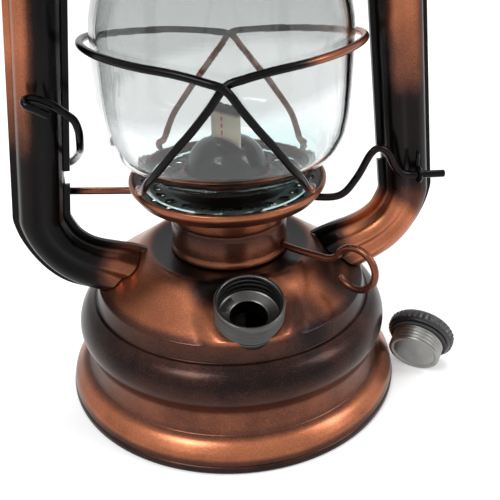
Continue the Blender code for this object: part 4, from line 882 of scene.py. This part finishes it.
def make_tubes():
    wall = 0.00072
    flange = 0.00075
    section = tube_section()
    rings = smooth(tube_rings(), 0.0022)
    outline = [(radius + GAP, height + GAP) for radius, height in tank_outline() if height > 0.0155]
    dome = turned("dome", [(0.0001, outline[0][1])] + outline + [(0.0001, outline[-1][1])], 128)
    chamber = rods("chamber", [((0, 0, 0.180), (0, 0, 0.204), 0.0343)], 128)
    for side, side_name, finish in ((-1, "left", LEFT_FINISH), (1, "right", RIGHT_FINISH)):
        low_edge = tube_line(0.0735)[0]
        high_edge = tube_line(0.078)[0]
        ends = sorted((side * (low_edge + 0.0014), side * (high_edge - 0.002)))
        notch = block("notch", (ends[0], -0.002, 0.0735), (ends[1], 0.002, 0.078))
        for face, face_name in ((-1, "front"), (1, "back")):
            vertices = []
            for ring in rings:
                for across, rise in section:
                    x = ring[0] + (ring[2] - ring[0]) * across
                    z = ring[1] + (ring[3] - ring[1]) * across
                    vertices.append((side * x, face * (flange + (ring[4] - flange) * rise), z))
            width = len(section)
            faces = []
            for row in range(len(rings) - 1):
                for column in range(width - 1):
                    first = row * width + column
                    quad = [first, first + 1, first + width + 1, first + width]
                    if side * face < 0:
                        quad.reverse()
                    faces.append(quad)
            name = "side_tube_" + side_name + "_" + face_name
            mesh = bpy.data.meshes.new(name)
            mesh.from_pydata(vertices, [], faces)
            half = new_object(name, mesh)
            sheet = half.modifiers.new("Sheet", "SOLIDIFY")
            sheet.thickness = wall
            sheet.offset = -1.0
            sheet.use_even_offset = True
            cut(half, [dome, chamber, notch], 34.0)
            dress(half, "lantern", "copper", finish, "tube_" + side_name + "_" + face_name)
        remove([notch])
    remove([dome, chamber])


# Burner

def make_burner():
    foot = 0.0489
    profile = [
        (0.0176, 0.0679), (0.0187, 0.0679), (0.0191, 0.0668), (0.0191, 0.0646),
        (0.01835, 0.0604), (0.0178, 0.0593),
        (0.01835, 0.0582), (0.01835, foot + 0.0022), (0.0189, foot + 0.0011), (0.0189, foot), (0.0146, foot),
        (0.0146, 0.0662), (0.0176, 0.0662),
    ]
    collar = turned("collar", rounded(profile, 0.0008, 5, True), 128)
    shaft_hole = rods("shaft_hole", [(
        BURNER_FRAME @ Vector((0.0062, 0.0046, 0.052)),
        BURNER_FRAME @ Vector((0.0211, 0.0046, 0.052)), 0.0014
    )], 32)
    cut(collar, [shaft_hole])
    remove([shaft_hole])
    dress(collar, "lantern", "copper", COLLAR_FINISH, "burner_collar")

    radius = 0.0127
    wall = 0.0006
    dome = along((0.0, 0.075), (radius, 0.0855), (
        (0.0, 1.0), (0.24, 0.985), (0.47, 0.91), (0.65, 0.8), (0.8, 0.62), (0.94, 0.3), (1.0, 0.0)
    ))
    outer = smooth(dome, 0.0006)
    outer[0] = (0.0002, outer[0][1])
    inner = [(max(0.0002, reach * (1 - wall / radius)), height - wall) for reach, height in reversed(outer)]
    cone = turned("cone", outer + [(radius, 0.0679), (radius - wall, 0.0679)] + inner, 96)
    slit = block("slit", (-0.009, -0.0025, 0.0775), (0.0147, 0.0025, 0.0875), BURNER_FRAME)
    cut(cone, [slit])
    remove([slit])
    dress(cone, "lantern", "black_enamel", ENAMEL, "burner_cone")

    for name in ("burner_body", "wick_tube", "wick_wheel_inner", "wick_wheel_outer"):
        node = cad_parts[name]
        node.data.materials.clear()
        node.data.materials.append(STEEL)

    columns = 22
    rows = 90
    half_width = 0.0055
    half_thick = 0.0008
    vertices = []
    faces = []
    for row in range(rows + 1):
        height = 0.015 + (0.0953 - 0.015) * row / rows
        for column in range(columns * 2):
            front = column < columns
            step = column if front else columns * 2 - 1 - column
            x = -half_width + 2 * half_width * step / (columns - 1)
            edge = min(1.0, (half_width - abs(x)) / 0.0007)
            thick = half_thick * (0.55 + 0.42 * math.sqrt(max(0.0, edge)))
            thick *= 0.96 + 0.03 * math.cos(math.tau * x / 0.0018)
            y = -thick if front else thick
            lift = 0.0
            if row == rows:
                lift = RANDOM.uniform(-0.0007, 0.0)
            vertices.append(BURNER_FRAME @ Vector((x, y, height + lift)))
    ring = columns * 2
    for row in range(rows):
        for column in range(ring):
            after = (column + 1) % ring
            low = row * ring
            high = low + ring
            faces.append((low + column, low + after, high + after, high + column))
    faces.append(tuple(range(ring)))
    faces.append(tuple(rows * ring + column for column in range(ring)))
    wick = mesh_object("wick_strip_cloth", vertices, faces, 60.0)
    dress(wick, "wick_strip", "cotton", COTTON, "wick")

    curve = bpy.data.curves.new("wick_threads", "CURVE")
    curve.dimensions = "3D"
    curve.bevel_depth = 0.00016
    curve.bevel_resolution = 2
    curve.use_fill_caps = True
    for _ in range(34):
        x = RANDOM.uniform(-0.0052, 0.0052)
        y = RANDOM.uniform(-0.0006, 0.0006)
        lean = Vector((RANDOM.uniform(-0.0016, 0.0016), RANDOM.uniform(-0.0012, 0.0012), 0.0))
        top = RANDOM.uniform(0.0, 0.0004)
        spline = curve.splines.new("POLY")
        spline.points.add(4)
        for step, point in enumerate(spline.points):
            t = step / 4
            bend = lean * t * t
            place = BURNER_FRAME @ Vector((
                max(-0.0054, min(0.0054, x + bend.x)), max(-0.00075, min(0.00075, y + bend.y)),
                0.0938 + (0.0953 + top * 0.3 - 0.0938) * math.sin(t * 2.2),
            ))
            point.co = (*place, 1.0)
            point.radius = 1.0 - t * 0.5
    threads = new_object("wick_threads", curve)
    dress(threads, "wick_strip", "cotton", COTTON)


def make_shaft():
    place = BURNER_FRAME @ Matrix.Translation((0, 0.0046, 0.052))
    exit_reach = math.sqrt(0.0178 ** 2 - 0.0046 ** 2)
    ring_start = exit_reach + 0.0208
    radius = 0.0068
    centre = ring_start + radius
    points = [
        Vector((-0.0062, 0, 0)), Vector((ring_start - radius, 0, 0)),
        Vector((ring_start - radius / 3, 0, radius / 12)),
    ]
    for index in range(21):
        angle = math.radians(160.0 + (-145.0 - 160.0) * index / 20)
        points.append(Vector((centre + radius * math.cos(angle), 0, radius * math.sin(angle))))
    route = smooth([place @ point for point in points], 0.0007)
    shaft = wire("knob_wire", route, 0.0011)
    dress(shaft, "wick_knob", "copper", KNOB_FINISH, "wick_shaft")


# Globe plate, globe and guard

def make_plate():
    sheet = 0.0007
    rim = PLATE_RADIUS
    top = PLATE_RIM_TOP
    under = 0.0682
    floor = 0.0703
    rise = top - under
    edge = rounded([
        (rim - sheet * 1.6, top), (rim - sheet / 3, top - sheet / 4), (rim, top - rise / 4),
        (rim - sheet / 2, top - rise * 0.44), (rim - sheet * 2.3, top - rise * 0.75), (0.0284, under),
        (0.0276, under), (0.0272, floor), (0.0272, floor + sheet), (rim - sheet * 3.6, floor + sheet),
        (rim - sheet * 2.2, top - rise * 0.2),
    ], 0.0007, 5, True)
    rim_ring = turned("plate_rim", edge, 160)
    dress(rim_ring, "globe_carrier", "copper", PLATE_FINISH, "globe_plate")
    hole = 0.0133
    step_ring = turned("plate_step", rounded([
        (0.0182, floor), (0.0174, floor), (hole + sheet, 0.0744 - sheet * 2),
        (hole, 0.0744 - sheet), (hole, 0.0744),
        (hole + sheet * 1.8, 0.0744 - sheet * 1.4), (0.0174 + sheet, floor + sheet), (0.0182, floor + sheet),
    ], 0.0006, 4, True), 128)
    dress(step_ring, "globe_carrier", "copper", STEP_LACQUER_AND_PAINTED_HIGHLIGHT, "globe_plate")
    curve = bpy.data.curves.new("plate_floor", "CURVE")
    curve.dimensions = "2D"
    curve.fill_mode = "BOTH"
    curve.extrude = sheet / 2 - 0.0002
    curve.bevel_depth = 0.0002
    curve.bevel_resolution = 2
    circles = [(0.0, 0.0, 0.0276, 120), (0.0, 0.0, 0.0180, 96)]
    for ring, radius in enumerate((0.0215, 0.0253)):
        for index in range(22):
            centre = polar(radius, 360.0 / 22 * (index + ring / 2), 0.0)
            circles.append((centre.x, centre.y, 0.00135, 20))
    for x, y, radius, count in circles:
        spline = curve.splines.new("POLY")
        spline.points.add(count - 1)
        for index, point in enumerate(spline.points):
            angle = math.tau * index / count
            point.co = (x + radius * math.cos(angle), y + radius * math.sin(angle), 0.0, 1.0)
        spline.use_cyclic_u = True
    flat = new_object("plate_floor_curve", curve)
    flat.location = (0, 0, floor + sheet / 2)
    bpy.context.view_layer.update()
    mesh = bpy.data.meshes.new_from_object(flat.evaluated_get(bpy.context.evaluated_depsgraph_get()))
    mesh.transform(flat.matrix_world)
    remove([flat])
    mesh.set_sharp_from_angle(angle=math.radians(50.0))
    dress(new_object("plate_floor", mesh), "globe_carrier", "copper", PLATE_FINISH, "globe_plate")
    for ring, radius in enumerate((0.0215, 0.0253)):
        lips = []
        for index in range(22):
            lips.append(polar(radius, 360.0 / 22 * (index + ring / 2), floor + sheet))
        mesh = bpy.data.meshes.new("vent_lips")
        shape = bmesh.new()
        for centre in lips:
            outline = [(0.00135, -0.0002), (0.00155, 0.0002), (0.0018, 0.0001), (0.0020, -0.0002)]
            loops = []
            for reach, height in outline:
                loop = []
                for step in range(18):
                    angle = math.tau * step / 18
                    loop.append(shape.verts.new((
                        centre.x + reach * math.cos(angle),
                        centre.y + reach * math.sin(angle), centre.z + height
                    )))
                loops.append(loop)
            for first, second in zip(loops, loops[1:]):
                for step in range(18):
                    after = (step + 1) % 18
                    shape.faces.new((first[step], first[after], second[after], second[step]))
        shape.to_mesh(mesh)
        shape.free()
        finish_mesh(mesh)
        item = new_object("vent_lips_" + str(ring), mesh)
        dress(item, "globe_carrier", "copper", PLATE_FINISH, "globe_plate")


def make_globe():
    foot = 0.0713
    belly = (0.0376, 0.114)
    lower = along((0.026, foot), belly, (
        (0.0, 0.0), (0.02, 0.08), (0.12, 0.15), (0.34, 0.20), (0.56, 0.255), (0.77, 0.32), (0.89, 0.40),
        (0.955, 0.50), (0.99, 0.68), (1.0, 0.92),
    ))
    upper = along(belly, (0.027, 0.150), ((0.0, 0.0), (0.02, 0.18), (0.24, 0.46), (0.66, 0.79), (1.0, 1.0)))
    outer = list(reversed(smooth(lower + upper, 0.0012)))
    wall = 0.0019
    inner = []
    for index, (reach, height) in enumerate(outer):
        before = outer[max(0, index - 1)]
        after = outer[min(len(outer) - 1, index + 1)]
        run = Vector((after[0] - before[0], after[1] - before[1])).normalized()
        inner.append((reach + run.y * wall, height - run.x * wall * 0.8))
    inner[0] = (inner[0][0], outer[0][1])
    inner[-1] = (inner[-1][0], outer[-1][1])
    profile = rounded(outer, 0.0001, 1) + list(reversed(inner))
    globe = turned("glass_globe", profile, 128, sharp_deg=60.0)
    dress(globe, "globe_carrier", "glass", GLASS, "globe")


GUARD_LEG_SHARES = (
    (0.12, 0.07, 0.12), (0.25, 0.15, 0.36), (0.37, 0.25, 0.62), (0.5, 0.37, 0.82), (0.66, 0.56, 0.93),
    (0.78, 0.7, 0.98), (0.9, 0.86, 1.0),
)
GUARD_SIDE_SHARES = (
    (0.04, 0.2, 0.0, 0.6), (0.1, 0.08, 0.0, 0.1), (0.19, 0.02, 0.1, 0.0), (0.3, 0.0, 0.5, 0.0),
    (0.42, 0.05, 1.0, 0.0), (0.52, 0.16, 1.0, 0.0), (0.62, 0.35, 0.8, 0.0), (0.73, 0.55, 0.3, 0.0),
    (0.84, 0.71, 0.0, 0.05), (0.94, 0.87, 0.0, 0.6),
)


def guard_leg(foot_degrees, cross_degrees, cross_height, step):
    foot_radius = PLATE_RADIUS - 0.0007
    foot_height = PLATE_RIM_TOP + GAP
    points = [polar(foot_radius, foot_degrees, foot_height + rise) for rise in (0.0, 0.0022)]
    for turn_share, rise_share, out_share in GUARD_LEG_SHARES:
        radius = foot_radius + (0.0394 - foot_radius) * out_share + step * turn_share ** 4
        degrees = foot_degrees + (cross_degrees - foot_degrees) * turn_share
        points.append(polar(radius, degrees, foot_height + (cross_height - foot_height) * rise_share))
    return points


def guard_route(front_foot, rear_foot, rear_degrees, front_step, rear_step):
    fall = 0.1168 - 0.1058
    front_degrees = 263.3
    front_top = 0.1168 - fall * 0.36
    points = guard_leg(front_foot, front_degrees, front_top, front_step)
    points.append(polar(0.0394 + front_step, front_degrees, front_top))
    for turn_share, fall_share, bulge_share, step_share in GUARD_SIDE_SHARES:
        step = front_step if turn_share < 0.5 else rear_step
        radius = 0.0394 + 0.0008 * bulge_share + step * step_share
        degrees = front_degrees + (rear_degrees - front_degrees) * turn_share
        points.append(polar(radius, degrees, 0.1168 - fall * fall_share))
    points.append(polar(0.0394 + rear_step, rear_degrees, 0.1058))
    points += reversed(guard_leg(rear_foot, rear_degrees, 0.1058, rear_step))
    return smooth_route(points, 0.0016)


def make_guard():
    first = wire("guard_first", guard_route(203.5, 493.3, 439.0, 0.0, 0.0027), 0.0011)
    dress(first, "globe_carrier", "dark_copper", GUARD_FINISH, "guard_wire_a")
    second = wire("guard_second", guard_route(317.6, 22.0, 79.0, 0.0027, 0.0), 0.0011)
    dress(second, "globe_carrier", "dark_copper", GUARD_FINISH, "guard_wire_b")


# Lift lever

LOOP_SHARES = (
    (2.7, 0.0, -1.8), (2.1, 0.0, -1.4), (1.0, 0.0, -0.72), (0.2, 0.05, -0.3), (-0.1, 0.5, 0.0),
    (0.3, 0.97, 0.15), (1.2, 1.0, 0.02), (2.3, 1.0, -0.45), (3.35, 1.0, -1.12), (4.4, 1.0, -2.04),
)
LEVER_DOWN_SHARES = (
    (0.893, 1.0, 0.18), (0.876, 0.95, 0.27), (0.88, 0.77, 0.37), (0.89, 0.42, 0.48), (0.911, -0.2, 0.59),
    (0.945, -0.72, 0.7), (0.99, -0.95, 0.765),
)
LEVER_COIL_SHARES = ((2.6, 1.2, 0.775), (0.8, 1.7, 0.82), (-0.9, 1.5, 0.88), (-1.6, 0.8, 0.96))
LEVER_RIGHT_SHARES = (
    (0.545, 0.92, 0.0), (0.7, 0.96, 0.04), (0.8, 0.97, 1.1), (0.885, 0.97, 2.6), (0.945, 0.97, 2.9),
    (1.0, 0.97, 2.5), (1.04, 0.97, 1.75), (1.09, 0.98, 1.2),
)


def make_lever():
    left = Vector((-0.057, 0.01045, 0.0669))
    right = Vector((0.0582, -0.01045, 0.0718))
    line = (right - left).normalized()
    thick = 0.0023
    points = []
    for across, back, up in LOOP_SHARES:
        points.append(Vector((-0.0557 + thick * across, -0.0154 + 0.003 * back, 0.1045 + thick * up)))
    left_edge = tube_line(left.z)[0]
    right_edge = tube_line(right.z)[0]
    drop = 0.1045 - left.z
    for across, forward, down in LEVER_DOWN_SHARES:
        points.append(Vector((-left_edge * across, -0.0124 * forward, 0.1045 - drop * down)))
    for across, back, down in LEVER_COIL_SHARES:
        points.append(Vector((left.x + thick * across, left.y + thick * back, 0.1045 - drop * down)))
    points += [left - line * thick / 2, left + line * thick, left + line * thick * 3]
    under = 0.0682 - GAP - thick / 2
    points.append(Vector((-0.033, 0.022 * 0.32, under)))
    for index in range(9):
        points.append(polar(0.022, 165.0 - 22.5 * index, under))
    rise = right.z - under
    for across, forward, up in LEVER_RIGHT_SHARES:
        points.append(Vector((right_edge * across, right.y * forward, under + rise * up)))
    points += [right - line * thick, right + line * thick, right + line * 0.008]
    lever = wire("lever_wire", smooth_route(points, 0.0013), thick / 2)
    dress(lever, "lever", "dark_copper", LEVER_FINISH, "lift_lever")

    ring = 0.00115 + GAP + 0.0006
    bearings = (("clip_wire", "lever_clip", left, 1), ("eye_wire", "lever_eye", right, -1))
    for name, node, centre, face in bearings:
        stem = TUBE_HALF_DEPTH + GAP + 0.0006
        points = [Vector((centre.x, face * stem, centre.z + 0.0062 * share)) for share in (1.0, 0.7)]
        for index in range(13):
            angle = math.radians(145.0 - 25.0 * index)
            points.append(Vector((
                centre.x, centre.y + face * ring * math.cos(angle), centre.z + ring * math.sin(angle)
            )))
        eye = wire(name, smooth_route(points, 0.0004), 0.0006)
        dress(eye, "lantern", "dark_copper", LEVER_FINISH, node)


# Hood, chimney, spring and air chamber

def make_hood():
    sheet = 0.0008
    ledge = 0.1503
    radius = 0.030
    inside = radius - sheet
    crown = turned("crown", rounded([
        (0.0155, 0.172), (radius - sheet * 2, 0.1585 + sheet * 3), (radius, 0.1585), (radius, 0.1472),
        (radius + 0.001, 0.1452), (radius + 0.0002, 0.1452), (inside, 0.1472),
        (inside, ledge), (0.0246, ledge),
        (0.0246, ledge + sheet), (inside, ledge + sheet), (inside, 0.1581), (radius - sheet * 3, 0.16026),
        (0.0147, 0.1712), (0.0147, 0.172),
    ], 0.0010, 4, True), 128)
    height = (ledge + sheet + 0.1585) / 2
    lines = []
    for index in range(10):
        turn = 36.0 * index
        lines.append((polar(radius - 0.002, turn, height), polar(radius + 0.002, turn, height), 0.0021))
    vents = rods("vents", lines, 28)
    cut(crown, [vents])
    remove([vents])
    dress(crown, "hood", "copper", HOOD_FINISH, "hood_crown")

    foot = 0.1723
    top = 0.209
    outline = [(0.0155, top), (0.0155, foot), (0.0147, foot), (0.0147, top)]
    pipe = turned("chimney_pipe", rounded(outline, 0.0003, 2, True), 96)
    slots = []
    for index in range(8):
        place = Matrix.Rotation(math.tau * index / 8, 4, "Z")
        slots.append(block("slot", (0.0135, -0.0017, top - 0.005), (0.0175, 0.0017, top - 0.0012), place))
    cut(pipe, slots)
    remove(slots)
    dress(pipe, "hood", "dark_copper", DARK_FINISH, "chimney")

    foot = 0.2093
    rise = 0.009
    cap = turned("rain_cap", [(0.0002, foot + rise)] + smooth([
        (0.0052, foot + rise * 0.95), (0.0155, foot + rise * 0.62), (0.0231, foot + rise * 0.16)
    ], 0.0008) + rounded([
        (0.024, foot - 0.0004), (0.024, foot - 0.0022), (0.0231, foot - 0.0022),
        (0.0231, foot), (0.0002, foot)
    ], 0.0004, 3), 128)
    dress(cap, "hood", "copper", HOOD_FINISH, "chimney_cap")

    ring_foot = foot + rise + GAP
    centre = ring_foot + 0.0078 + 0.003
    points = [(-0.0028, 0, ring_foot), (-0.0028, 0, ring_foot + 0.002)]
    for index in range(17):
        angle = math.radians(235.0 - 290.0 * index / 16)
        points.append((0.0078 * math.cos(angle), 0, centre + 0.0078 * math.sin(angle)))
    points += [(0.0028, 0, ring_foot + 0.002), (0.0028, 0, ring_foot)]
    ring = wire("hood_ring", smooth(points, 0.0006), 0.001)
    dress(ring, "hood", "dark_copper", DARK_FINISH, "lift_ring")

    spring_radius = 0.0187
    slope = (0.1609 - 0.172) / (0.0284 - 0.0155)
    low = 0.172 + slope * (0.0181 - 0.0155) + 0.0009
    high = 0.2012 - 0.0009
    points = []
    for index in range(161):
        points.append(polar(spring_radius, 1440.0 * index / 160, low + (high - low) * index / 160))
    spring = wire("spring_wire", points, 0.0006, sides=3)
    dress(spring, "hood", "steel", STEEL, "hood_spring")

    corner = 0.003
    radius = 0.034
    shell = turned("chamber_shell", rounded([
        (0.0175, 0.202), (radius - corner, 0.202),
        (radius - corner / 4, 0.202 - corner / 3), (radius, 0.202 - corner),
        (radius, 0.1832), (radius + 0.0006, 0.1826), (radius, 0.182), (radius - sheet, 0.1823),
        (radius - sheet, 0.202 - corner), (radius - sheet - corner / 4, 0.2012 - corner / 4),
        (radius - corner, 0.2012), (0.0175, 0.2012),
    ], 0.0010, 5, True), 128)
    middle = 0.202 - corner - 0.00675
    ports = block("ports", (-0.036, -0.0045, middle - 0.0035), (0.036, 0.0045, middle + 0.0035))
    cut(shell, [ports])
    remove([ports])
    dress(shell, "lantern", "copper", HOOD_FINISH, "air_chamber")


def make_bail():
    swing = Matrix.Translation((0, 0, 0.190)) @ Matrix.Rotation(math.radians(34.0), 4, "X")
    low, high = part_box("bail_ear_right")
    reach = 0.057
    bend = 0.003
    arm = 0.0216
    half = [
        Vector((low.x - 0.0005, 0, 0)), Vector((reach - bend / 2, 0, 0)),
        Vector((reach - bend / 8, 0, -bend / 8)),
        Vector((reach, 0, -bend / 2)), Vector((reach, 0, -arm)),
    ]
    arch = []
    for index in range(1, 44):
        angle = math.pi * index / 44
        arch.append(Vector((reach * math.cos(angle), 0, -arm - 0.0504 * math.sin(angle))))
    mirrored = [Vector((-point.x, point.y, point.z)) for point in reversed(half)]
    route = smooth([swing @ point for point in half + arch + mirrored], 0.0012)
    handle = wire("bail_wire", route, 0.00125)
    dress(handle, "bail_handle", "dark_copper", DARK_FINISH, "bail")

    hole = 0.00155
    profile = rounded([
        (hole, high.x), (0.0034, high.x), (0.0034, low.x + 0.001), (0.0046, low.x + 0.001),
        (0.0046, low.x), (hole, low.x)
    ], 0.0004, 3, True)
    for side, name in ((-1, "bail_ear_left"), (1, "bail_ear_right")):
        place = Matrix.Translation((0, 0, 0.190)) @ Matrix.Rotation(side * math.pi / 2, 4, "Y")
        ear = turned("ear_" + name[9:], profile, 48, place=place)
        dress(ear, "lantern", "dark_copper", DARK_FINISH, name)


# Camera, light and floor

def make_camera():
    azimuth = math.radians(CAMERA_AZIMUTH_DEG)
    heading = math.radians(CAMERA_AZIMUTH_DEG + CAMERA_YAW_DEG)
    pitch = math.radians(CAMERA_PITCH_DEG)
    roll = math.radians(CAMERA_ROLL_DEG)
    ahead = Vector((
        math.sin(heading) * math.cos(pitch), math.cos(heading) * math.cos(pitch), -math.sin(pitch)
    ))
    level = Vector((math.cos(heading), -math.sin(heading), 0.0))
    upright = level.cross(ahead)
    right = level * math.cos(roll) + upright * math.sin(roll)
    up = upright * math.cos(roll) - level * math.sin(roll)
    camera = new_object("camera", bpy.data.cameras.new("camera"))
    matrix = Matrix((right, up, -ahead)).transposed().to_4x4()
    matrix.translation = Vector((
        -CAMERA_DISTANCE * math.sin(azimuth), -CAMERA_DISTANCE * math.cos(azimuth), CAMERA_HEIGHT
    ))
    camera.matrix_world = matrix
    camera.data.sensor_width = SENSOR_MM
    camera.data.lens = FOCAL_PIXELS / PICTURE_PIXELS * SENSOR_MM
    camera.data.clip_start = 0.01
    bpy.context.scene.camera = camera


def add_light(name, place, target, size, power):
    data = bpy.data.lights.new(name, "AREA")
    data.shape = "RECTANGLE"
    data.size = size[0]
    data.size_y = size[1]
    data.energy = power
    light = new_object(name, data)
    light.location = place
    light.rotation_euler = (Vector(target) - Vector(place)).to_track_quat("-Z", "Y").to_euler()


def seen_share(nodes, links):
    """1 for what the camera sees, straight or through gloss and glass."""
    rays = nodes.new("ShaderNodeLightPath").outputs
    share = rays["Is Camera Ray"]
    for name in ("Is Glossy Ray", "Is Transmission Ray"):
        node = nodes.new("ShaderNodeMath")
        node.operation = "MAXIMUM"
        links.new(share, node.inputs[0])
        links.new(rays[name], node.inputs[1])
        share = node.outputs[0]
    return share


def make_light():
    world = bpy.data.worlds.new("studio")
    bpy.context.scene.world = world
    world.use_nodes = True
    nodes = world.node_tree.nodes
    links = world.node_tree.links
    background = nodes["Background"]
    background.inputs["Color"].default_value = (1.0, 1.0, 1.0, 1.0)
    share = seen_share(nodes, links)
    strength = nodes.new("ShaderNodeMath")
    strength.operation = "MULTIPLY_ADD"
    links.new(share, strength.inputs[0])
    strength.inputs[1].default_value = 1.0 - WORLD_LIGHT
    strength.inputs[2].default_value = WORLD_LIGHT
    links.new(strength.outputs[0], background.inputs["Strength"])
    target = (0.0, 0.0, 0.05)
    add_light("key", (-0.45, -0.45, 0.75), target, (0.35, 0.35), 5.0)
    add_light("fill", (0.70, -0.30, 0.60), target, (0.30, 0.45), 3.2)
    add_light("top", (0.05, 0.35, 0.95), target, (0.5, 0.3), 3.0)

    floor = bpy.data.meshes.new("floor")
    floor.from_pydata([(-6, -6, 0), (6, -6, 0), (6, 6, 0), (-6, 6, 0)], [], [(0, 1, 2, 3)])
    item = new_object("floor", floor)
    material = bpy.data.materials.new("floor")
    material.use_nodes = True
    nodes = material.node_tree.nodes
    links = material.node_tree.links
    shader = nodes["Principled BSDF"]
    shader.inputs["Base Color"].default_value = (0.80, 0.80, 0.80, 1.0)
    shader.inputs["Roughness"].default_value = 0.6
    shader.inputs["Specular IOR Level"].default_value = 0.2
    shader.inputs["Emission Color"].default_value = (1.0, 1.0, 1.0, 1.0)
    share = seen_share(nodes, links)
    glow = nodes.new("ShaderNodeMath")
    glow.operation = "MULTIPLY"
    links.new(share, glow.inputs[0])
    glow.inputs[1].default_value = FLOOR_GLOW
    links.new(glow.outputs[0], shader.inputs["Emission Strength"])
    floor.materials.append(material)


make_camera()
make_light()
make_tank()
make_neck()
make_cap()
make_tubes()
make_burner()
make_shaft()
make_plate()
make_globe()
make_guard()
make_lever()
make_hood()
make_bail()

view = bpy.context.scene.view_settings
view.view_transform = "Standard"
